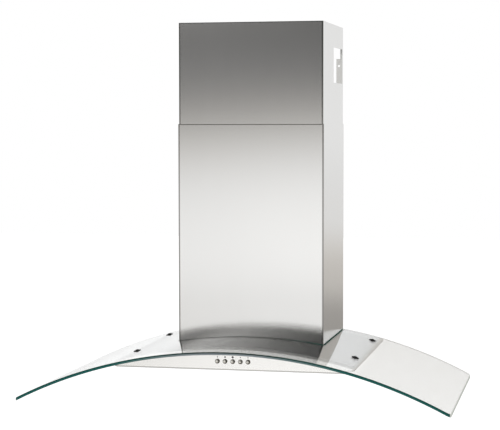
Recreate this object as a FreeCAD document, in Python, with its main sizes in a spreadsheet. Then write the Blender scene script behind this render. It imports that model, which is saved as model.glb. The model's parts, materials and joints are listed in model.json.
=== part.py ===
import FreeCAD, Part
import math
import os
import re
import Sketcher

os.makedirs("parts", exist_ok=True)

# Frame: the origin lies on the wall, on the centre line, level with the body's lower edge.
# X runs to the viewer's right, Y into the wall, Z up, and the front faces -Y. Sizes are in mm.

# Driving sizes, each a cell of the sheet
SIZES = {
    # Curved glass canopy
    "canopy_width": 900,
    "glass_overhang": 50,
    "glass_thickness": 6,
    "glass_corner": 10,
    "glass_hole": 4,
    "notch_margin": 1.5,
    "notch_corner": 4,
    # Caps, studs and washers that hold the glass
    "cap_inset": 14,
    "cap_ahead": 123,
    "cap_rear": 66,
    "cap_radius": 8,
    "cap_height": 1.5,
    "hub_radius": 4.4,
    "hub_height": 2.3,
    "tip_radius": 3,
    "tip_height": 3.2,
    "stud_radius": 2.5,
    "stud_play": 0.1,
    "stud_above": 1.8,
    "stud_end_play": 0.3,
    "washer_thickness": 0.6,
    "curve_play": 0.05,
    # Steel body under the glass
    "sheet": 1,
    "seam": 0.2,
    "body_width": 500,
    "body_depth": 450,
    "body_middle": 37.6,
    "body_side": 5,
    "body_corner": 10,
    "fascia_return": 30,
    "panel_play": 0.3,
    # Grease filters
    "divider_half": 6,
    "filter_gap": 1,
    "filter_side": 61,
    "filter_ahead": 79,
    "filter_height": 8,
    "filter_rear": 63.8,
    "filter_bar": 10,
    "filter_front_bar": 27,
    "filter_lip": 5,
    "filter_skin": 1,
    "filter_rear_gap": 1.4,
    "mesh_play": 0.2,
    "mesh_thickness": 1,
    "mesh_pitch": 15,
    "mesh_length": 21,
    "mesh_strand": 2.2,
    "core_thickness": 0.6,
    "core_pitch": 14,
    "pivot_radius": 1.52,
    "pivot_play": 0.07,
    "pivot_inset": 5.2,
    "ear_thickness": 1.5,
    "ear_depth": 10,
    "ear_height": 7,
    # Filter latches
    "latch_half": 14.6,
    "latch_inset": 0.5,
    "latch_play": 0.35,
    "latch_length": 12.5,
    "latch_height": 5,
    "latch_travel": 6.5,
    "tongue_half": 10,
    "tongue_reach": 6,
    "tongue_height": 2,
    "thumb_half": 8,
    "thumb_depth": 3,
    "thumb_drop": 1.5,
    # Lamps
    "lamp_place": 115,
    "lamp_inset": 40,
    "lamp_hole": 27.5,
    "bezel_radius": 31,
    "bezel_bore": 24,
    "bezel_lip": 22,
    "bezel_step": 1,
    "bezel_drop": 1.5,
    "lamp_sleeve": 6,
    "lamp_wall": 1,
    "lens_thickness": 2,
    "can_height": 15,
    "holder_half": 7,
    "holder_half_depth": 4.7,
    "holder_height": 4,
    "bulb_radius": 4.2,
    "bulb_height": 9,
    # Push buttons
    "button_count": 5,
    "button_pitch": 16,
    "button_first": 29.2,
    "button_under": 8.9,
    "button_radius": 4.65,
    "button_proud": 4.4,
    "button_rim": 1.6,
    "button_play": 0.3,
    "button_travel": 3,
    "button_collar": 6,
    "stem_radius": 2,
    "stem_length": 9.7,
    "indicator_under": 10.6,
    "indicator_radius": 1.4,
    "indicator_collar": 2.2,
    "indicator_proud": 0.7,
    # Switch block
    "block_front": 6,
    "block_depth": 18,
    "block_below": 8.6,
    "block_under": 6.6,
    "block_margin": 9,
    "block_leg": 4,
    # Motor box
    "box_side_room": 14,
    "box_front_room": 13,
    "box_rear": 12,
    "box_top": 300,
    "box_flange": 12,
    "foot_play": 0.3,
    "screw_radius": 1.9,
    "screw_head": 3.6,
    "screw_head_height": 2,
    "screw_length": 6,
    "screw_play": 0.1,
    "screw_drop": 0.8,
    # Scroll housing and impeller
    "scroll_ahead": 26,
    "scroll_behind": 17,
    "scroll_above": 18.4,
    "scroll_beside": 75,
    "scroll_growth": 10,
    "scroll_wall": 1.5,
    "scroll_mouth": 20,
    "scroll_flange": 8,
    "fan_gap": 9,
    "fan_side_gap": 15,
    "inlet_step": 15,
    "blade_count": 32,
    "blade_depth": 12,
    "blade_thickness": 1.2,
    "blade_slope": 6,
    "blade_inset": 0.3,
    "disc_inset": 1,
    "fan_disc": 2,
    "fan_ring": 3,
    "hub_outer": 12,
    "hub_half": 14,
    # Motor
    "shaft_radius": 4,
    "shaft_play": 0.05,
    "shaft_fit": 0.025,
    "shaft_end": 2,
    "motor_radius": 46,
    "motor_room": 8,
    "motor_length": 50,
    "motor_step": 1.5,
    "motor_tail": 8,
    "motor_groove": 4,
    "motor_cup": 10,
    "cup_inset": 2,
    "motor_boss": 12,
    "boss_length": 4,
    "bracket_ring": 49.5,
    "bracket_play": 0.2,
    "bracket_reach": 11,
    "arm_count": 3,
    "arm_width": 10,
    "arm_inset": 4,
    "arm_thickness": 3,
    # Outlet collar and damper
    "collar_radius": 74.5,
    "collar_wall": 1.5,
    "collar_height": 50,
    "collar_flange": 10,
    "damper_level": 15,
    "ledge_width": 3,
    "flap_thickness": 1.2,
    "flap_play": 1,
    "pin_radius": 1.25,
    "knuckle_radius": 2.2,
    "knuckle_gap": 0.4,
    "knuckle_length": 28,
    # Electrical pieces on the motor box
    "capacitor_radius": 14,
    "capacitor_height": 52,
    "capacitor_side": 35,
    "capacitor_y": 60,
    "crimp_level": 4,
    "crimp_height": 2,
    "crimp_depth": 1,
    "tag_spread": 6,
    "tag_half": 3,
    "tag_thickness": 2,
    "tag_rise": 7,
    "terminal_low": 68,
    "terminal_width": 60,
    "terminal_rear": 40,
    "terminal_play": 1,
    "terminal_height": 30,
    "terminal_wall": 2,
    "lid_thickness": 3,
    "lid_overhang": 0.5,
    "lid_skirt": 2,
    "gland_radius": 10,
    "gland_bore": 4.5,
    "gland_length": 20,
    "gland_wall": 2,
    "gland_tip": 6,
    "loom_radius": 2.5,
    "loom_bend": 15,
    "loom_x": 80,
    "loom_behind": 16,
    "loom_level": 18,
    "loom_rise": 16,
    "loom_play": 1,
    # Wall mounting
    "plate_side": 15,
    "plate_low": 60,
    "plate_high": 290,
    "plate_thickness": 2,
    "plate_flange_inset": 12,
    "plate_arm_inset": 10,
    "bolt_side_margin": 30,
    "bolt_end_margin": 25,
    "wall_bolt_radius": 4,
    "clip_low": 70,
    "clip_high": 100,
    "clip_depth": 40,
    "clip_thickness": 1.3,
    # Chimney
    "lower_width": 318,
    "lower_depth": 268,
    "lower_top": 500.7,
    "upper_play": 0.6,
    "upper_front_play": 0.8,
    "upper_top": 717.6,
    "upper_length": 400,
    "upper_rear": 1.5,
    "chimney_flange": 12,
    "chimney_bend": 1.4,
    "window_width": 119,
    "window_rear": 12,
    "window_height": 77.3,
    "window_under": 49.3,
    "tab_flange": 15,
    "tab_under": 70,
    "tab_hole_drop": 16,
    "tab_hole": 2.5,
    "tab_hole_inset": 9,
    "tab_lip": 6,
    "bracket_under": 5.6,
    "bracket_height": 28,
    "bracket_depth": 18,
    "bracket_thickness": 1.5,
    "slot_place": 60,
    "slot_radius": 3,
    "slot_length": 20,
}

# Values that follow from the sizes, as formulas
WORKED = {
    # The arc through the body's top: over its middle and down to its sides
    "body_rise": "body_middle - body_side",
    "body_arc": "((body_width / 2) ^ 2 + body_rise ^ 2) / (2 * body_rise)",
    "arc_centre": "body_middle - body_arc",
    "body_inner_arc": "body_arc - sheet",
    "glass_under": "body_arc + washer_thickness",
    "glass_radius": "glass_under + glass_thickness",
    "glass_apex": "arc_centre + glass_radius",
    "canopy_depth": "body_depth + glass_overhang",
    "cap_place": "body_width / 2 - cap_inset",
    "cap_front": "body_depth - cap_ahead",
    # Filters and their latches
    "filter_near": "divider_half + filter_gap",
    "filter_far": "body_width / 2 - filter_side",
    "filter_front": "body_depth - filter_ahead",
    "filter_mid": "(filter_near + filter_far) / 2",
    "pivot_y": "filter_rear + pivot_inset",
    "pivot_z": "filter_height / 2",
    "bore_radius": "pivot_radius + pivot_play",
    "latch_front": "filter_front - latch_inset",
    "latch_back": "latch_front - latch_length",
    # Lamps, buttons and switch block
    "lamp_front": "body_depth - lamp_inset",
    "indicator_level": "body_middle - indicator_under",
    "button_level": "indicator_level - button_under",
    "block_low": "button_level - block_below",
    "block_high": "body_middle - sheet - block_under",
    "block_left": "-button_first - block_margin",
    "block_right": "button_pitch * (button_count - 1) - button_first + block_margin",
    "block_face": "block_front - body_depth",
    "block_back": "block_face + block_depth",
    # Motor box, scroll and fan, inside the lower chimney
    "box_half": "lower_width / 2 - box_side_room",
    "box_front": "lower_depth - box_front_room",
    "scroll_depth": "box_front - box_rear - 2 * sheet - scroll_ahead - scroll_behind",
    "scroll_radius": "(scroll_depth - 3 * scroll_growth) / 2",
    "scroll_half": "box_half - scroll_beside",
    "scroll_top": "box_top - sheet - seam",
    "fan_y": "box_rear + sheet + scroll_behind + scroll_radius",
    "fan_z": "body_middle + scroll_above + scroll_radius + scroll_growth",
    "fan_radius": "scroll_radius - fan_gap",
    "fan_half": "scroll_half - fan_side_gap",
    "inlet_radius": "fan_radius - inlet_step",
    "motor_inner": "scroll_half + motor_room",
    "arm_reach": "scroll_radius - arm_inset",
    # Outlet collar and the pieces on the motor box
    "box_seat": "box_top + mesh_play",
    "collar_y": "fan_y + (scroll_radius + 3 * scroll_growth - scroll_mouth) / 2",
    "collar_bore": "collar_radius - collar_wall",
    "collar_top": "box_top + collar_height",
    "pin_z": "box_top + damper_level",
    "capacitor_x": "box_half - capacitor_side",
    "terminal_high": "terminal_low + terminal_width",
    "terminal_clear": "collar_radius + collar_flange + terminal_play",
    "terminal_front": "collar_y - sqrt(terminal_clear ^ 2 - terminal_low ^ 2)",
    "loom_y": "box_front - loom_behind",
    # Wall plate
    "plate_half": "box_half - plate_side",
    "plate_flange": "plate_half - plate_flange_inset",
    # Upper chimney
    "upper_half": "lower_width / 2 - sheet - upper_play",
    "upper_front": "lower_depth - sheet - upper_front_play",
    "window_high": "upper_top - window_under",
    "window_low": "window_high - window_height",
    "window_front": "window_rear + window_width",
    "tab_top": "upper_top - tab_under",
    "tab_hole_level": "tab_top - tab_hole_drop",
    "tab_hole_x": "upper_half - tab_hole_inset",
    "bracket_high": "upper_top - bracket_under",
    "bracket_low": "bracket_high - bracket_height",
}

DOCUMENT = FreeCAD.newDocument("range_hood")
SHEET = DOCUMENT.addObject("Spreadsheet::Sheet", "Sizes")
GAUGE = DOCUMENT.addObject("App::FeaturePython", "Gauge")
GAUGE.addProperty("App::PropertyFloat", "Reading")
NODES = []
# How far a blank or a cut runs past what it makes, where that is of no account
BEYOND = 20
TURNS = {
    "x": FreeCAD.Rotation(FreeCAD.Vector(0, 1, 0), 90),
    "y": FreeCAD.Rotation(FreeCAD.Vector(1, 0, 0), -90),
    "z": FreeCAD.Rotation(),
}


def fill_sheet():
    """Each size gets a row: its name, and its value under that alias."""
    for row, (alias, value) in enumerate(SIZES.items(), start=1):
        SHEET.set("A%d" % row, alias)
        SHEET.set("B%d" % row, str(value))
        SHEET.setAlias("B%d" % row, alias)
    DOCUMENT.recompute()


def formula(text):
    """The same sum, with each name in it written as its cell or as its own formula."""

    def cell(found):
        word = found.group()
        if word in WORKED:
            return "(" + formula(WORKED[word]) + ")"
        return "Sizes." + word if word in SIZES else word

    return re.sub(r"[a-z_]+", cell, str(text))


def bind(item, target, text):
    item.setExpression(target, formula(text))


def value(text):
    """The number that a formula gives."""
    bind(GAUGE, "Reading", text)
    GAUGE.recompute()
    return GAUGE.Reading


def box(x, y, z):
    """A block between a low and a high place on each axis."""
    block = DOCUMENT.addObject("Part::Box", "block")
    for side, axis, (low, high) in zip(("Length", "Width", "Height"), "xyz", (x, y, z)):
        bind(block, side, "(%s) - (%s)" % (high, low))
        bind(block, "Placement.Base." + axis, low)
    return block


def rod(axis, span, first, second, radius):
    """A cylinder along an axis; first and second are its centre on the two other axes, in order."""
    cylinder = DOCUMENT.addObject("Part::Cylinder", "rod")
    cylinder.Placement = FreeCAD.Placement(FreeCAD.Vector(), TURNS[axis])
    bind(cylinder, "Radius", radius)
    bind(cylinder, "Height", "(%s) - (%s)" % (span[1], span[0]))
    bind(cylinder, "Placement.Base." + axis, span[0])
    for other, place in zip([name for name in "xyz" if name != axis], (first, second)):
        bind(cylinder, "Placement.Base." + other, place)
    return cylinder


def ball(x, y, z, radius):
    sphere = DOCUMENT.addObject("Part::Sphere", "ball")
    bind(sphere, "Radius", radius)
    for axis, place in zip("xyz", (x, y, z)):
        bind(sphere, "Placement.Base." + axis, place)
    return sphere


def post(side, y, low, high, radius):
    """A cylinder square to the glass, between two distances from the centre of its arc."""
    cylinder = DOCUMENT.addObject("Part::Cylinder", "post")
    cylinder.Placement = FreeCAD.Placement(FreeCAD.Vector(), FreeCAD.Rotation(FreeCAD.Vector(0, 1, 0), side))
    bind(cylinder, "Placement.Rotation.Angle", "asin(%d * cap_place / glass_radius)" % side)
    bind(cylinder, "Placement.Base.x", "%d * (%s) * cap_place / glass_radius" % (side, low))
    bind(cylinder, "Placement.Base.y", y)
    bind(cylinder, "Placement.Base.z", "arc_centre + (%s) * sqrt(1 - (cap_place / glass_radius) ^ 2)" % low)
    bind(cylinder, "Radius", radius)
    bind(cylinder, "Height", "(%s) - (%s)" % (high, low))
    return cylinder


def fuse(*items):
    if len(items) == 1:
        return items[0]
    joined = DOCUMENT.addObject("Part::MultiFuse", "joined")
    joined.Shapes = list(items)
    joined.Refine = True
    return joined


def cut(base, *tools):
    left = DOCUMENT.addObject("Part::Cut", "left")
    left.Base = base
    left.Tool = fuse(*tools)
    return left


def common(first, second):
    shared = DOCUMENT.addObject("Part::Common", "shared")
    shared.Base = first
    shared.Tool = second
    return shared


def group(*items):
    """Several separate solids in one node."""
    together = DOCUMENT.addObject("Part::Compound", "together")
    together.Links = list(items)
    return together


def mirrored(item):
    """The same piece on the other side of the centre line."""
    copy = DOCUMENT.addObject("Part::Mirroring", "mirrored")
    copy.Source = item
    copy.Normal = FreeCAD.Vector(1, 0, 0)
    return copy


def ring(axis, span, first, second, outer, inner):
    longer = ("(%s) - 1" % span[0], "(%s) + 1" % span[1])
    return cut(rod(axis, span, first, second, outer), rod(axis, longer, first, second, inner))


def rounded_block(x, y, z, corner):
    """A block whose two front upright corners are round."""
    left = "(%s) + %s" % (x[0], corner)
    right = "(%s) - %s" % (x[1], corner)
    front = "(%s) + %s" % (y[0], corner)
    return fuse(
        box((left, right), y, z),
        box(x, (front, y[1]), z),
        rod("z", z, left, front, corner),
        rod("z", z, right, front, corner),
    )


def node(name, item):
    """Names a finished sub-part."""
    item.Label = name
    NODES.append(item)
    return item


def body(name):
    return DOCUMENT.addObject("PartDesign::Body", name)


def sketch(owner, role, corners=(), circles=()):
    """A closed outline of straight runs and any circles, on one of the body's origin planes."""
    drawing = owner.newObject("Sketcher::SketchObject", "outline")
    plane = [item for item in owner.Origin.OriginFeatures if item.Role == role][0]
    drawing.AttachmentSupport = [(plane, "")]
    drawing.MapMode = "FlatFace"
    count = len(corners)
    start = [
        FreeCAD.Vector(math.cos(2 * math.pi * n / count), math.sin(2 * math.pi * n / count), 0)
        for n in range(count)
    ]
    for n in range(count):
        drawing.addGeometry(Part.LineSegment(start[n], start[(n + 1) % count]), False)
    for n in range(count):
        drawing.addConstraint(Sketcher.Constraint("Coincident", n, 2, (n + 1) % count, 1))
    for n, (across, up) in enumerate(corners):
        for kind, place, at in (("DistanceX", across, start[n].x), ("DistanceY", up, start[n].y)):
            index = drawing.addConstraint(Sketcher.Constraint(kind, -1, 1, n, 1, at))
            drawing.setExpression("Constraints[%d]" % index, formula(place))
    for across, up, radius in circles:
        index = drawing.addGeometry(Part.Circle(FreeCAD.Vector(1, 1, 0), FreeCAD.Vector(0, 0, 1), 1), False)
        for kind, place in (("DistanceX", across), ("DistanceY", up)):
            number = drawing.addConstraint(Sketcher.Constraint(kind, -1, 1, index, 3, 1))
            drawing.setExpression("Constraints[%d]" % number, formula(place))
        number = drawing.addConstraint(Sketcher.Constraint("Radius", index, 1))
        drawing.setExpression("Constraints[%d]" % number, formula(radius))
    return drawing


def pad(owner, drawing, length, symmetric=False):
    feature = owner.newObject("PartDesign::Pad", "pad")
    feature.Profile = drawing
    if symmetric:
        feature.SideType = "Symmetric"
    bind(feature, "Length", length)
    return feature


def pocket(owner, drawing, length=None):
    """A cut through everything both ways, or to a depth behind the sketch's plane."""
    feature = owner.newObject("PartDesign::Pocket", "pocket")
    feature.Profile = drawing
    if length is None:
        feature.SideType = "Symmetric"
        feature.Type = "ThroughAll"
    else:
        feature.Reversed = True
        bind(feature, "Length", length)
    return feature


def front_corner_edges(shape):
    """The upright edges at the two front corners of a shape's box."""
    around = shape.BoundBox
    names = []
    for number, edge in enumerate(shape.Edges, start=1):
        ends = [vertex.Point for vertex in edge.Vertexes]
        at_front = all(abs(end.y - around.YMin) < 0.01 for end in ends)
        at_side = all(min(end.x - around.XMin, around.XMax - end.x) < 0.01 for end in ends)
        if len(ends) == 2 and at_front and at_side and abs(ends[0].z - ends[1].z) > 1:
            names.append("Edge%d" % number)
    return names


# Glass canopy
def arc_rod(radius):
    """A cylinder about the centre of the glass's arc, longer than the canopy is deep."""
    return rod("y", ("-canopy_depth - %d" % BEYOND, BEYOND), 0, "arc_centre", radius)


def glass_canopy():
    sides = ("-canopy_width / 2", "canopy_width / 2")
    depth = ("-canopy_depth", "0")
    height = ("arc_centre", "glass_apex + %d" % BEYOND)
    blank = common(
        cut(arc_rod("glass_radius"), arc_rod("glass_under")),
        rounded_block(sides, depth, height, "glass_corner"),
    )
    notch = rounded_block(
        ("-lower_width / 2 - notch_margin", "lower_width / 2 + notch_margin"),
        ("-lower_depth - notch_margin", BEYOND),
        ("0", "glass_apex + %d" % BEYOND),
        "notch_corner",
    )
    holes = [post(side, y, "body_arc", "glass_radius + 1", "glass_hole") for side, y in cap_places()]
    node("glass_canopy", cut(blank, notch, *holes))


def cap_places():
    return [(side, "-" + row) for side in (-1, 1) for row in ("cap_front", "cap_rear")]


def glass_caps():
    caps = []
    low = "glass_radius + curve_play"
    for side, y in cap_places():
        disc = post(side, y, low, low + " + cap_height", "cap_radius")
        hub = post(side, y, low, low + " + hub_height", "hub_radius")
        tip = post(side, y, low, low + " + tip_height", "tip_radius")
        bore_end = "glass_radius + stud_above + stud_end_play"
        bore = post(side, y, low + " - 1", bore_end, "stud_radius + stud_play")
        caps.append(cut(fuse(disc, hub, tip), bore))
    node("glass_caps", group(*caps))


def glass_studs():
    studs = [
        post(side, y, "body_arc + curve_play", "glass_radius + stud_above", "stud_radius")
        for side, y in cap_places()
    ]
    node("glass_studs", group(*studs))


def glass_washers():
    washers = []
    for side, y in cap_places():
        disc = post(side, y, "body_arc + curve_play", "glass_under - curve_play", "cap_radius")
        bore = post(side, y, "body_arc - 1", "glass_under + 1", "stud_radius + stud_play")
        washers.append(cut(disc, bore))
    node("glass_washers", group(*washers))


# Steel body
def body_block(inset, low):
    """The plan of the body, drawn in by an inset, from a low level up past the glass."""
    return rounded_block(
        ("-body_width / 2 + %s" % inset, "body_width / 2 - %s" % inset),
        ("-body_depth + %s" % inset, "-(%s)" % inset),
        (low, "glass_apex"),
        "(body_corner - %s)" % inset,
    )


def body_tray():
    """The whole folded tray: arched top, sides, front and back, open below."""
    outside = common(body_block("0", "0"), arc_rod("body_arc"))
    inside = common(body_block("sheet", "-1"), arc_rod("body_inner_arc"))
    return cut(outside, inside)


def front_fascia():
    split = "-body_depth + fascia_return"
    front = box(("-body_width", "body_width"), ("-body_depth - 1", split + " - seam"), ("-1", "glass_apex"))
    piece = common(body_tray(), front)
    through = ("-body_depth - 1", "-body_depth + 2 * sheet")
    holes = [rod("y", through, x, "button_level", "button_radius + button_play") for x in button_places()]
    lens = rod("y", through, indicator_place(), "indicator_level", "indicator_radius + mesh_play")
    node("front_fascia", cut(piece, *holes, lens))


def body_shell():
    split = "-body_depth + fascia_return"
    rest = box(("-body_width", "body_width"), (split, "1"), ("-1", "glass_apex"))
    air = box(
        ("-box_half + box_flange", "box_half - box_flange"),
        ("-box_front + box_flange", "-box_rear - box_flange"),
        ("sheet + filter_height", "glass_apex"),
    )
    holes = [box_screw_hole(x, y) for x, y in box_screw_places()]
    node("body_shell", cut(common(body_tray(), rest), air, *holes))


def filter_opening():
    """The opening for the right filter in the bottom panel."""
    return box(
        ("divider_half", "filter_far + filter_gap"),
        ("-filter_front - filter_gap", "-filter_rear + filter_rear_gap"),
        ("-1", "sheet + 1"),
    )


def pivot_ear(low):
    """An upright ear beside a filter, bored for the filter's pivot pin."""
    plate = box(
        (low, "%s + ear_thickness" % low),
        ("-pivot_y - ear_depth / 2", "-pivot_y + ear_depth / 2"),
        ("sheet / 2", "sheet + ear_height"),
    )
    bore = rod("x", ("%s - 1" % low, "%s + ear_thickness + 1" % low), "-pivot_y", "pivot_z", "bore_radius")
    return cut(plate, bore)


def bottom_panel():
    inset = "sheet + panel_play"
    plan = rounded_block(
        ("-body_width / 2 + " + inset, "body_width / 2 - (%s)" % inset),
        ("-body_depth + " + inset, "-(%s)" % inset),
        ("0", "sheet"),
        "(body_corner - sheet)",
    )
    opening = filter_opening()
    lamp = rod("z", ("-1", "sheet + 1"), "lamp_place", "-lamp_front", "lamp_hole")
    sheet = cut(plan, opening, mirrored(opening), lamp, mirrored(lamp))
    near = pivot_ear("divider_half - ear_thickness")
    far = pivot_ear("filter_far + filter_gap")
    node("bottom_panel", fuse(sheet, near, far, mirrored(near), mirrored(far)))


# Grease filters
def filter_frame():
    depth = ("-filter_front", "-filter_rear")
    outside = box(("filter_near", "filter_far"), depth, ("0", "filter_height"))
    window = box(
        ("filter_near + filter_bar", "filter_far - filter_bar"),
        ("-filter_front + filter_front_bar", "-filter_rear - filter_bar"),
        ("-1", "filter_height + 1"),
    )
    channel = box(
        ("filter_near + filter_bar - filter_lip", "filter_far - filter_bar + filter_lip"),
        ("-filter_front + filter_front_bar - filter_lip", "-filter_rear - filter_bar + filter_lip"),
        ("filter_skin", "filter_height - filter_skin"),
    )
    latch_room = box(
        ("filter_mid - latch_half - latch_play", "filter_mid + latch_half + latch_play"),
        ("-filter_front - 1", "-latch_back + latch_travel + latch_play"),
        ("filter_skin", "filter_skin + latch_height + 2 * latch_play"),
    )
    thumb_front = "-latch_back - 2 * thumb_depth"
    thumb_room = box(
        ("filter_mid - thumb_half - latch_play", "filter_mid + thumb_half + latch_play"),
        (thumb_front + " - latch_play", thumb_front + " + thumb_depth + latch_travel + latch_play"),
        ("-1", "filter_skin + 1"),
    )
    reach = "filter_gap + ear_thickness"
    near = rod("x", ("filter_near - (%s)" % reach, "filter_near + 1"), "-pivot_y", "pivot_z", "pivot_radius")
    far = rod("x", ("filter_far - 1", "filter_far + " + reach), "-pivot_y", "pivot_z", "pivot_radius")
    return fuse(cut(outside, window, channel, latch_room, thumb_room), near, far)


def channel_plan():
    """What lies in the filter frame's channel: low and high X, then low and high Y."""
    rim = value("filter_bar - filter_lip + mesh_play")
    front_rim = value("filter_front_bar - filter_lip + mesh_play")
    across = (value("filter_near") + rim, value("filter_far") - rim)
    return across, (value("-filter_front") + front_rim, value("-filter_rear") - rim)


def filter_mesh():
    """An expanded sheet: one plate with rows of lozenge openings, every other row shifted by half."""
    (left, right), (front, rear) = channel_plan()
    rim = value("filter_lip - mesh_play")
    level = value("filter_skin + mesh_play")
    across, along = value("mesh_pitch"), value("mesh_length")
    half_x = (across - value("mesh_strand")) / 2
    half_y = (along - value("mesh_strand")) / 2

    def loop(points):
        corners = [FreeCAD.Vector(x, y, level) for x, y in points]
        return Part.makePolygon(corners + corners[:1])

    edge = loop([(left, front), (right, front), (right, rear), (left, rear)])
    columns = int((right - left - 2 * rim) / across)
    rows = int((rear - front - 2 * rim) / along * 2) - 1
    middle = (left + right) / 2
    holes = []
    for row in range(rows):
        y = (front + rear) / 2 + (row - (rows - 1) / 2) * along / 2
        shift = across / 2 if row % 2 else 0
        for column in range(columns - row % 2):
            x = middle + (column - (columns - 1) / 2) * across + shift
            holes.append(loop([(x - half_x, y), (x, y - half_y), (x + half_x, y), (x, y + half_y)]))
    plate = Part.makeFace([edge] + holes, "Part::FaceMakerBullseye")
    feature = DOCUMENT.addObject("Part::Feature", "mesh")
    feature.Shape = plate.extrude(FreeCAD.Vector(0, 0, value("mesh_thickness"))).Solids[0]
    feature.Placement = FreeCAD.Placement()
    return feature


def filter_core():
    """A corrugated sheet across the filter, folded to and fro along Y."""
    (left, right), (front, rear) = channel_plan()
    low = value("filter_skin + mesh_thickness + 2 * mesh_play")
    high = value("filter_height - filter_skin - mesh_play")
    thickness = value("core_thickness")
    folds = 2 * round((rear - front) / value("core_pitch"))
    step = (rear - front) / folds
    under = [
        FreeCAD.Vector(left, front + n * step, low if n % 2 else high - thickness) for n in range(folds + 1)
    ]
    over = [point + FreeCAD.Vector(0, 0, thickness) for point in reversed(under)]
    sheet = Part.Face(Part.makePolygon(under + over + under[:1]))
    feature = DOCUMENT.addObject("Part::Feature", "core")
    feature.Shape = sheet.extrude(FreeCAD.Vector(right - left, 0, 0))
    feature.Placement = FreeCAD.Placement()
    return feature


def filter_latch():
    floor = "filter_skin + latch_play"
    slider = box(
        ("filter_mid - latch_half", "filter_mid + latch_half"),
        ("-latch_front", "-latch_back"),
        (floor, "filter_skin + latch_play + latch_height"),
    )
    tongue = box(
        ("filter_mid - tongue_half", "filter_mid + tongue_half"),
        ("-filter_front - tongue_reach", "-latch_front + 1"),
        (floor, floor + " + tongue_height"),
    )
    thumb = box(
        ("filter_mid - thumb_half", "filter_mid + thumb_half"),
        ("-latch_back - 2 * thumb_depth", "-latch_back - thumb_depth"),
        ("-thumb_drop", "filter_skin + latch_height / 2"),
    )
    return fuse(slider, tongue, thumb)


def filters():
    for name, make in (
        ("filter_frame", filter_frame),
        ("filter_mesh", filter_mesh),
        ("filter_core", filter_core),
        ("filter_latch", filter_latch),
    ):
        right = node(name + "_right", make())
        node(name + "_left", mirrored(right))


# Lamps
def lamp_part(low, high, outer, inner):
    return ring("z", (low, high), "lamp_place", "-lamp_front", outer, inner)


def lamp_rod(low, high, radius):
    return rod("z", (low, high), "lamp_place", "-lamp_front", radius)


def lamp_bezel():
    sleeve = "lamp_hole - mesh_play"
    lip = lamp_part("-bezel_drop", "-bezel_drop / 2", "bezel_radius - bezel_step", "bezel_lip")
    rim = lamp_part("-bezel_drop / 2", "0", "bezel_radius", "bezel_bore")
    return fuse(lip, rim, lamp_part("-bezel_drop / 2", "lamp_sleeve", sleeve, "bezel_bore"))


def lamp_lens():
    low = "-bezel_drop / 2 + mesh_play"
    return lamp_rod(low, low + " + lens_thickness", "bezel_bore - mesh_play")


def lamp_can():
    low = "lamp_sleeve + mesh_play"
    high = low + " + can_height"
    outside = lamp_rod(low, high, "lamp_hole - mesh_play")
    inside = lamp_rod(low + " - 1", high + " - lamp_wall", "lamp_hole - mesh_play - lamp_wall")
    return cut(outside, inside)


def lamp_holder():
    ceiling = "lamp_sleeve + mesh_play + can_height - lamp_wall - mesh_play"
    return box(
        ("lamp_place - holder_half", "lamp_place + holder_half"),
        ("-lamp_front - holder_half_depth", "-lamp_front + holder_half_depth"),
        (ceiling + " - holder_height", ceiling),
    )


def lamp_bulb():
    high = "lamp_sleeve + can_height - lamp_wall - holder_height - mesh_play"
    low = high + " - bulb_height + bulb_radius"
    return fuse(lamp_rod(low, high, "bulb_radius"), ball("lamp_place", "-lamp_front", low, "bulb_radius"))


def lamps():
    for name, make in (
        ("lamp_bezel", lamp_bezel),
        ("lamp_lens", lamp_lens),
        ("lamp_can", lamp_can),
        ("lamp_holder", lamp_holder),
        ("lamp_bulb", lamp_bulb),
    ):
        right = node(name + "_right", make())
        node(name + "_left", mirrored(right))


# Push buttons and switch block
def button_places():
    return ["%d * button_pitch - button_first" % n for n in range(SIZES["button_count"])]


def indicator_place():
    return "2 * button_pitch - button_first"


def push_button(number, place):
    """A domed round cap on a stem, turned about its own axis, with a collar behind the fascia."""
    button = body("button")
    collar = "sheet + button_play"
    profile = sketch(
        button,
        "XY_Plane",
        [
            ("0", "-button_proud"),
            ("button_radius", "-button_proud"),
            ("button_radius", collar),
            ("button_collar", collar),
            ("button_collar", collar + " + sheet"),
            ("stem_radius", collar + " + sheet"),
            ("stem_radius", collar + " + sheet + stem_length"),
            ("0", collar + " + sheet + stem_length"),
        ],
    )
    turned = button.newObject("PartDesign::Revolution", "turned")
    turned.Profile = profile
    turned.ReferenceAxis = (profile, ["V_Axis"])
    turned.Angle = 360
    DOCUMENT.recompute()
    front = turned.Shape.BoundBox.YMin
    rims = [
        "Edge%d" % index
        for index, edge in enumerate(turned.Shape.Edges, start=1)
        if edge.BoundBox.YMax < front + 0.01 and edge.BoundBox.XLength > 1
    ]
    rounded = button.newObject("PartDesign::Fillet", "rounded")
    rounded.Base = (turned, rims)
    bind(rounded, "Radius", "button_rim")
    button.Tip = rounded
    bind(button, "Placement.Base.x", place)
    bind(button, "Placement.Base.y", "-body_depth")
    bind(button, "Placement.Base.z", "button_level")
    node("push_button_%d" % number, button)


def push_buttons():
    for number, place in enumerate(button_places(), start=1):
        push_button(number, place)


def switch_block():
    case = box(("block_left", "block_right"), ("block_face", "block_back"), ("block_low", "block_high"))
    foot = ("-body_depth + sheet + mesh_play", "block_face + block_leg")
    left = box(("block_left - block_leg", "block_left"), foot, ("block_low", "block_high"))
    right = box(("block_right", "block_right + block_leg"), foot, ("block_low", "block_high"))
    depth = ("block_face - 1", "block_face + stem_length + button_travel")
    bores = [rod("y", depth, x, "button_level", "stem_radius + button_play") for x in button_places()]
    node("switch_block", cut(fuse(case, left, right), *bores))


def indicator_lens():
    x, z = indicator_place(), "indicator_level"
    pin = rod("y", ("-body_depth - indicator_proud", "block_face - mesh_play"), x, z, "indicator_radius")
    collar = rod("y", ("-body_depth + sheet + mesh_play", "block_face - mesh_play"), x, z, "indicator_collar")
    node("indicator_lens", fuse(pin, collar))


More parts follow.
